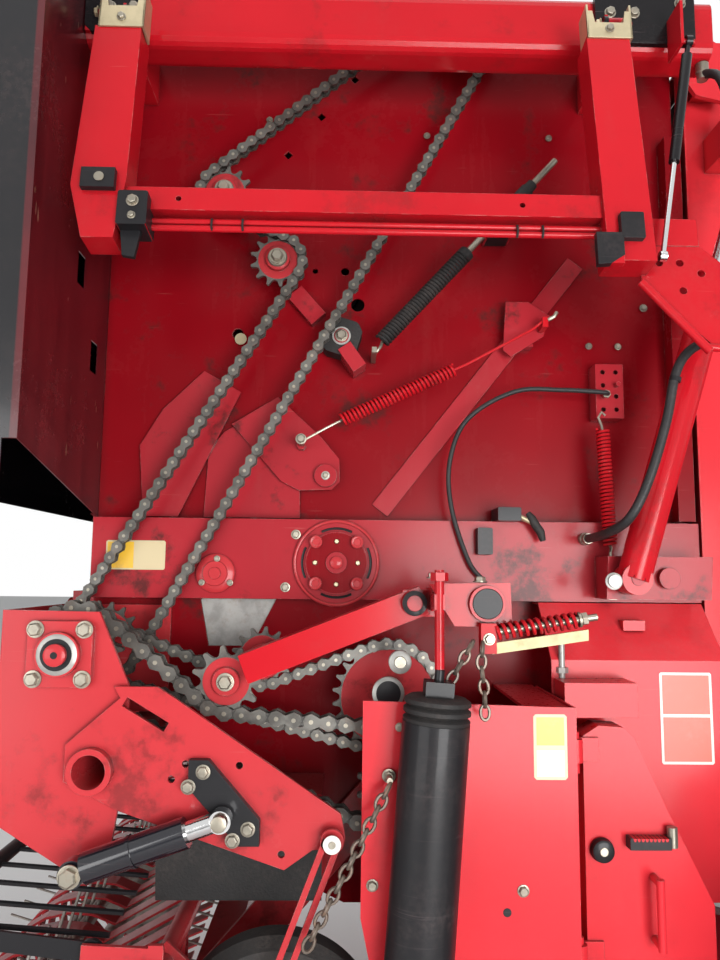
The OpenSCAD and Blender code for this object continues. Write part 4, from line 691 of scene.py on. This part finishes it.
quarter = math.tau / 4
for k in range(4):
    turn = quarter * k
    fittings.bolt(on_hub(44, turn, -671), (0, -1, 0), 5, 5, False)
    turn += quarter / 2
    fittings.turned(on_hub(60, turn, -681.5), (0, -1, 0), [(0, 13.5), (2, 13), (3.5, 11), (3, 8), (1.5, 7)], 24, 3)
    groove_shade = [turn + 0.33 + k * (quarter - 0.66) / 12 for k in range(13)]
    # Painted shade: each groove is drawn as a black tube.
    fittings.tube([on_hub(71, t, -666.5) for t in groove_shade], 2.6, 6, 2)
fittings.tube([on_hub(86, math.tau * k / 64, -666.5) for k in range(65)], 3.5, 8, 3)
# The rubber block of the tension arm, a square with cut corners.
block_x, block_z, block_reach = 231, 1810, 45.6
corners = [math.radians(28 + 90 * k + d) for k in range(4) for d in (-16, -6, 6, 16)]
block = [(block_x + block_reach * math.cos(t), block_z + block_reach * math.sin(t)) for t in corners]
fittings.prism(block, -662, wall_y, 4)
fittings.turned((block_x, -662, block_z), (0, -1, 0), [(0, 20), (3, 20)], 28, 1)
fittings.bolt((block_x, -665, block_z), (0, -1, 0), 11, 0)
# Black castings and the T latch on the wall and the channel.
plate(fittings, 544, 601, 2039, 2101, -681, wall_y, 2, 6)
plate(fittings, 559, 607, 1415, 1443, -691, wall_y, 2, 2)
plate(fittings, 517, 548, 1345, 1400, -688, channel_y, 2, 2)
fittings.tube([(606, -680, 1424), (632, -684, 1411)], 5.5, 12, 5)
fittings.tube([(621, -686, 1432), (629, -687, 1421), (637, -687, 1406), (647, -687, 1392), (652, -686, 1374)],
              [5, 8.5, 9, 9, 6], 14, 4)
# The lift arm's pivot, and the bellows on top of the relief spring's tube.
fittings.turned((368, -900.5, 1252), (0, -1, 0), [(0, 22), (4, 22), (5, 18)], 32, 2)
fittings.turned((368, -905.5, 1252), (0, -1, 0), [(0, 14), (0.8, 13)], 28, 3)
tilt, tube_length = math.radians(4.3), 572
bellows = (352 + tube_length * math.sin(tilt), -988, 490 + tube_length * math.cos(tilt))
fittings.turned(bellows, (math.sin(tilt), 0, math.cos(tilt)), [
    (0, 47), (5, 54), (11, 55), (16, 49), (20, 55), (26, 55), (31, 49), (35, 55), (41, 54), (46, 46), (47, 30)], 40, 4)
# Bushes, washers and plugs, and the long upright bolt in front of the rear panels.
fittings.turned((343, -886, 1150), (0, -1, 0), [(0, 20), (14, 20), (16, 17)], 28, 1)
fittings.turned((343, -902, 1150), (0, -1, 0), [(0, 11), (3, 10)], 24, 0)
fittings.turned((325, -850, 1091), (0, -1, 0), [(0, 29), (8, 29), (10, 26)], 32, 1)
fittings.turned((325, -860, 1091), (0, -1, 0), [(0, 22), (1, 22)], 32, 2)
fittings.turned((488, -950.5, 1254), (0, -1, 0), [(0, 25), (0.8, 25)], 36, 2)
fittings.turned((201, -642, 1510), (0, -1, 0), [(0, 9), (1, 9)], 24, 1)
fittings.bolt((201, -643, 1510), (0, -1, 0), 6, 0)
fittings.turned((519, -930.2, 751), (0, -1, 0), [(0, 7), (0.6, 7)], 20, 2)
fittings.turned((746, -830, 1294), (0, -1, 0), [(0, 16), (3, 16), (4, 12), (9, 12)], 28, 1)
fittings.turned((9, wall_y, 1814), (0, -1, 0), [(0, 13), (1, 13)], 28, 5)
fittings.tube([(665, -760, 1108), (665, -760, 1176)], 6, 12, 1)
fittings.turned((665, -760, 1118), (0, 0, 1), [(0, 12), (10, 12)], 6, 1)
fittings.make("fittings", "chassis", "grey_steel", [bolt_steel, grey_steel, satin_black, drive_red, dull_rubber,
                                                    zinc_plate, shaded_wall_red], bevel=0.6)


# --- Blank plates and signs ---
# Film stuck on the channel, the lower panel and the rear panel: blank coloured fields on pale grounds, with no text.
# Each field stands half a millimetre above its ground.
def film(name, colour):
    material, shader, place, hue = finish(name, colour, 0.35)
    dirt = place.noise(14.0, 6, 0.7).step(0.5, 0.8) * 0.5
    place.plug(shader.inputs["Base Color"], hue.tint(dirt, (0.22, 0.14, 0.10)))
    return material


signs = Shape()
plate(signs, -249, -127, 1307, 1367, -661, -660.1, 0, 3)
plate(signs, -246, -192, 1310, 1364, -661.5, -661, 1)
plate(signs, 567, 624, 962, 1069, -930.9, -930.1, 0, 4)
plate(signs, 572, 619, 1018, 1064, -931.4, -930.9, 1)
plate(signs, 572, 619, 967, 1010, -931.4, -930.9, 2)
plate(signs, 853, 954, 949, 1120, -760.9, -760.1, 2, 3)
plate(signs, 858, 949, 1042, 1115, -761.4, -760.9, 3)
plate(signs, 858, 949, 954, 1036, -761.4, -760.9, 3)
signs.make("blank_signs", "chassis", "grey_steel", [
    film("film_cream", (0.54, 0.44, 0.26)), film("film_yellow", (0.72, 0.42, 0.03)),
    film("film_white", (0.64, 0.60, 0.54)), film("film_orange", (0.62, 0.07, 0.03))])


# --- Tyre treads ---
# Moulded rubber tyres: a turned carcass with sidewall ribs and two rows of slanted lugs that reach the CAD radius.
# Each sits on its rim and turns with its wheel.
def tyre(name, side):
    wheel_x, track, wheel_z = 1400, 1025, 475
    wheel = Shape()
    half = [(205.3, 150), (221, 152), (239, 175), (290, 205), (297, 213), (305, 214), (312, 211), (355, 224),
            (430, 214), (446, 196), (455, 140), (457, 0)]
    outline = half + [(r, -w) for r, w in half[-2::-1]]

    def at(r, w, t):
        return wheel_x + r * math.cos(t), side * track + w, wheel_z + r * math.sin(t)

    steps, lugs = 96, 26
    wheel.rings([[at(r, w, math.tau * k / steps) for k in range(steps)] for r, w in outline], 0, True)
    for k in range(lugs):
        for hand in (-1, 1):
            turn = math.tau * (k + (0.5 if hand > 0 else 0)) / lugs
            ring = []
            for w, sweep, low, high in (
                    (6, 0.0, 452, 473), (120, 0.10, 450, 473), (190, 0.16, 444, 468), (214, 0.17, 420, 440)):
                for r, spread in ((low, 0.042), (high, 0.0345)):
                    ring += [at(r, hand * w, turn + sweep + edge * spread) for edge in (-1, 1)]
            faces = []
            for a in (0, 4, 8):
                b = a + 4
                faces += [[a, a + 1, b + 1, b], [a + 2, b + 2, b + 3, a + 3], [a, b, b + 2, a + 2],
                          [a + 1, a + 3, b + 3, b + 1]]
            wheel.add(ring, faces + [[0, 2, 3, 1], [12, 13, 15, 14]], 0)
    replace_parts(wheel.make("treaded_" + name, "wheel_" + name, "tyre_rubber", [tyre_rubber], 30), "tyre_" + name)


tyre("left", -1)
tyre("right", 1)


# --- Hoses of the cylinder and the valve block ---
# Black rubber hoses with crimped steel ends, along the routes of the CAD tubes, the thick one held by a clamp. They are
# screwed in at both ends on the chassis and lie still.
def smooth_route(points, parts=6):
    """A Catmull-Rom curve through the points."""
    points = [Vector(p) for p in points]
    ends = [points[0] * 2 - points[1]] + points + [points[-1] * 2 - points[-2]]
    curve = []
    for a, b, c, d in zip(ends, ends[1:], ends[2:], ends[3:]):
        for k in range(parts):
            t = k / parts
            curve.append(0.5 * (2 * b + (c - a) * t + (2 * a - 5 * b + 4 * c - d) * t * t
                                + (3 * b - a - 3 * c + d) * t ** 3))
    return curve + [points[-1]]


ram_hose = [(965, -815, 2349.7), (965, -815, 2330), (985, -852, 2290), (1000, -862, 2150), (1000, -862, 1850),
            (980, -862, 1768), (905, -862, 1738), (866, -864, 1690), (842, -864, 1590), (806, -862, 1480),
            (772, -850, 1410), (748, -790, 1385), (745, -700, 1380), (745, -660.3, 1380)]
block_hose = [(796, -672.3, 1688), (796, -682, 1688), (780, -688, 1689), (700, -680, 1694), (600, -676, 1690),
              (500, -674, 1630), (462, -674, 1540), (465, -674, 1440), (500, -676, 1330), (530, -678, 1290),
              (532, -676, 1266), (532, -660.3, 1266)]
hoses = Shape()
hoses.tube(smooth_route(ram_hose), 9, 14, 0)
hoses.tube(smooth_route(block_hose), 5, 12, 0)
hoses.turned((965, -815, 2349), (0, 0, -1), [(0, 13), (18, 13), (20, 11), (34, 11)], 16, 1)
hoses.turned((745, -661, 1380), (0, -1, 0), [(0, 13), (12, 13), (14, 11), (30, 11)], 16, 1)
hoses.turned((532, -661, 1266), (0, -1, 0), [(0, 9), (8, 9)], 6, 1)
hoses.turned((796, -672.5, 1688), (0, -1, 0), [(0, 9), (6, 9)], 6, 1)
hoses.turned((861, -864, 1668), (0.25, 0, 1), [(0, 11), (9, 11)], 16, 2)
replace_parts(hoses.make("rubber_hoses", "chassis", "belt_rubber", [hose_rubber, bolt_steel, satin_black]), "hoses")


# --- Hanging link chains ---
# Welded chain of dull steel wire, hung from the lower panel and beside the lift arm, each link turned a quarter to
# its neighbour.
def link_chain(shape, points, wire):
    route = [Vector(p) for p in points]
    length = sum((b - a).length for a, b in zip(route, route[1:]))
    pitch = wire * 3.1
    count = int(length / pitch)
    for i in range(count):
        gone, k = (i + 0.5) * length / count, 0
        while gone > (route[k + 1] - route[k]).length and k < len(route) - 2:
            gone -= (route[k + 1] - route[k]).length
            k += 1
        along = (route[k + 1] - route[k]).normalized()
        middle = route[k] + along * gone
        across = along.cross(Vector((0, 1, 0))).normalized() if i % 2 else Vector((0, 1, 0))
        across = (across - along * across.dot(along)).normalized()
        normal = along.cross(across)
        bends, sides = 14, 6
        rings = []
        for t in [math.tau * k / bends for k in range(bends)]:
            place = middle + along * (wire * 2.05 * math.cos(t)) + across * (wire * 1.25 * math.sin(t))
            out = (place - middle).normalized()
            rings.append([place + wire / 2 * (math.cos(a) * out + math.sin(a) * normal)
                          for a in [math.tau * q / sides for q in range(sides)]])
        shape.rings(rings, 0, True)


links = Shape()
link_chain(links, [(476, -965, 1190), (473, -966, 1153), (478, -966, 1113), (479, -966, 1067)], 6)
link_chain(links, [(460, -962, 1191), (443, -963, 1162), (418, -963, 1121), (396, -955, 1096)], 6)
link_chain(links, [(322, -966, 962), (291, -968, 902), (252, -968, 827), (216, -968, 761), (190, -968, 710)], 6.5)
links.bolt((322, -934, 968), (0, -1, 0), 9, 1)
links.turned((322, -934, 968), (0, -1, 0), [(0, 5), (34, 5)], 12, 1)
links.make("link_chains", "chassis", "grey_steel", [link_steel, bolt_steel])


# --- Hardware of the lift arm ---
# A black bracket held on the red arm by plated bolts, the cylinder's pin head, and a pale washer with a small bolt on
# the straps' pin on either side.
arm = Shape()
arm.prism([(-13, 990), (20, 990), (108, 893), (108, 852), (74, 852), (-13, 945)], -928.5, -912.8, 0)
for x, z in ((12, 971), (-12, 947), (89, 880), (64, 862)):
    arm.bolt((x, -928.5, z), (0, -1, 0), 10, 1)
arm.turned((47, -974.5, 901), (0, -1, 0), [(0, 13), (3, 13), (4, 9)], 20, 1)
for side in (-1, 1):
    arm.turned((229, side * 950.5, 863), (0, side, 0), [(0, 15), (2.5, 15)], 28, 2)
    arm.turned((229, side * 953, 863), (0, side, 0), [(0, 6), (2, 6)], 16, 1)
washer_white = film("washer_white", (0.62, 0.60, 0.56))
arm.make("arm_hardware", "lift_arm", "grey_steel", [satin_black, bolt_steel, washer_white], bevel=0.8)


# --- Straps of the pickup lift ---
# Two flat steel bars a side, painted red, welded to a boss at either end, with daylight between them. They hang on the
# lift arm's pin and carry the pickup.
strap = Shape()
top, low = Vector((229, 0, 863)), Vector((95, 0, 520))
along = (low - top).normalized()
across = Vector((0, 1, 0)).cross(along)
for side in (-1, 1):
    outer, inner = side * 938, side * 930
    for end in (top, low):
        strap.turned((end.x, outer, end.z), (0, -side, 0), [(0, 19), (1, 20), (7, 20), (8, 19)], 32, 0)
    strap.turned((low.x, inner, low.z), (0, -side, 0), [(0, 9), (12.7, 9)], 20, 1)
    for hand in (-1, 1):
        far, near = across * hand * 16, across * hand * 6
        edges = [top + far, low + far, low + near, top + near]
        strap.prism([(p.x, p.z) for p in edges], *sorted((outer, inner)), 0)
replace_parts(strap.make("paired_straps", "lift_straps", "red_paint", [drive_red, bolt_steel]), "lift_straps")


# --- Door knob and latch ---
# Black rubber knob with a lip and a black notched latch bar with its steel pin. Both are fixed to the red door and
# swing with it.
latch = Shape()
latch.turned((700, -860.5, 828), (0, -1, 0), [(0, 19.5), (4, 21), (7, 19.5), (14, 19), (16, 15)], 36, 0)
latch.turned((700, -876.5, 828), (0, -1, 0), [(0, 8), (1, 7)], 24, 1)
latch.prism([(744, 833), (816, 833), (816, 853)] + [(x, z) for k in range(9) for x, z in (
    (812 - 7 * k, 853), (810 - 7 * k, 847), (807 - 7 * k, 847), (805 - 7 * k, 853))] + [(744, 853)], -882.5, -859.8, 0)
latch.turned((822, -871, 843), (0, 0, 1), [(-8, 9), (26, 9)], 16, 1)
latch.make("door_latch", "side_door", "black_paint", [satin_black, bolt_steel], bevel=0.5)

low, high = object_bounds()
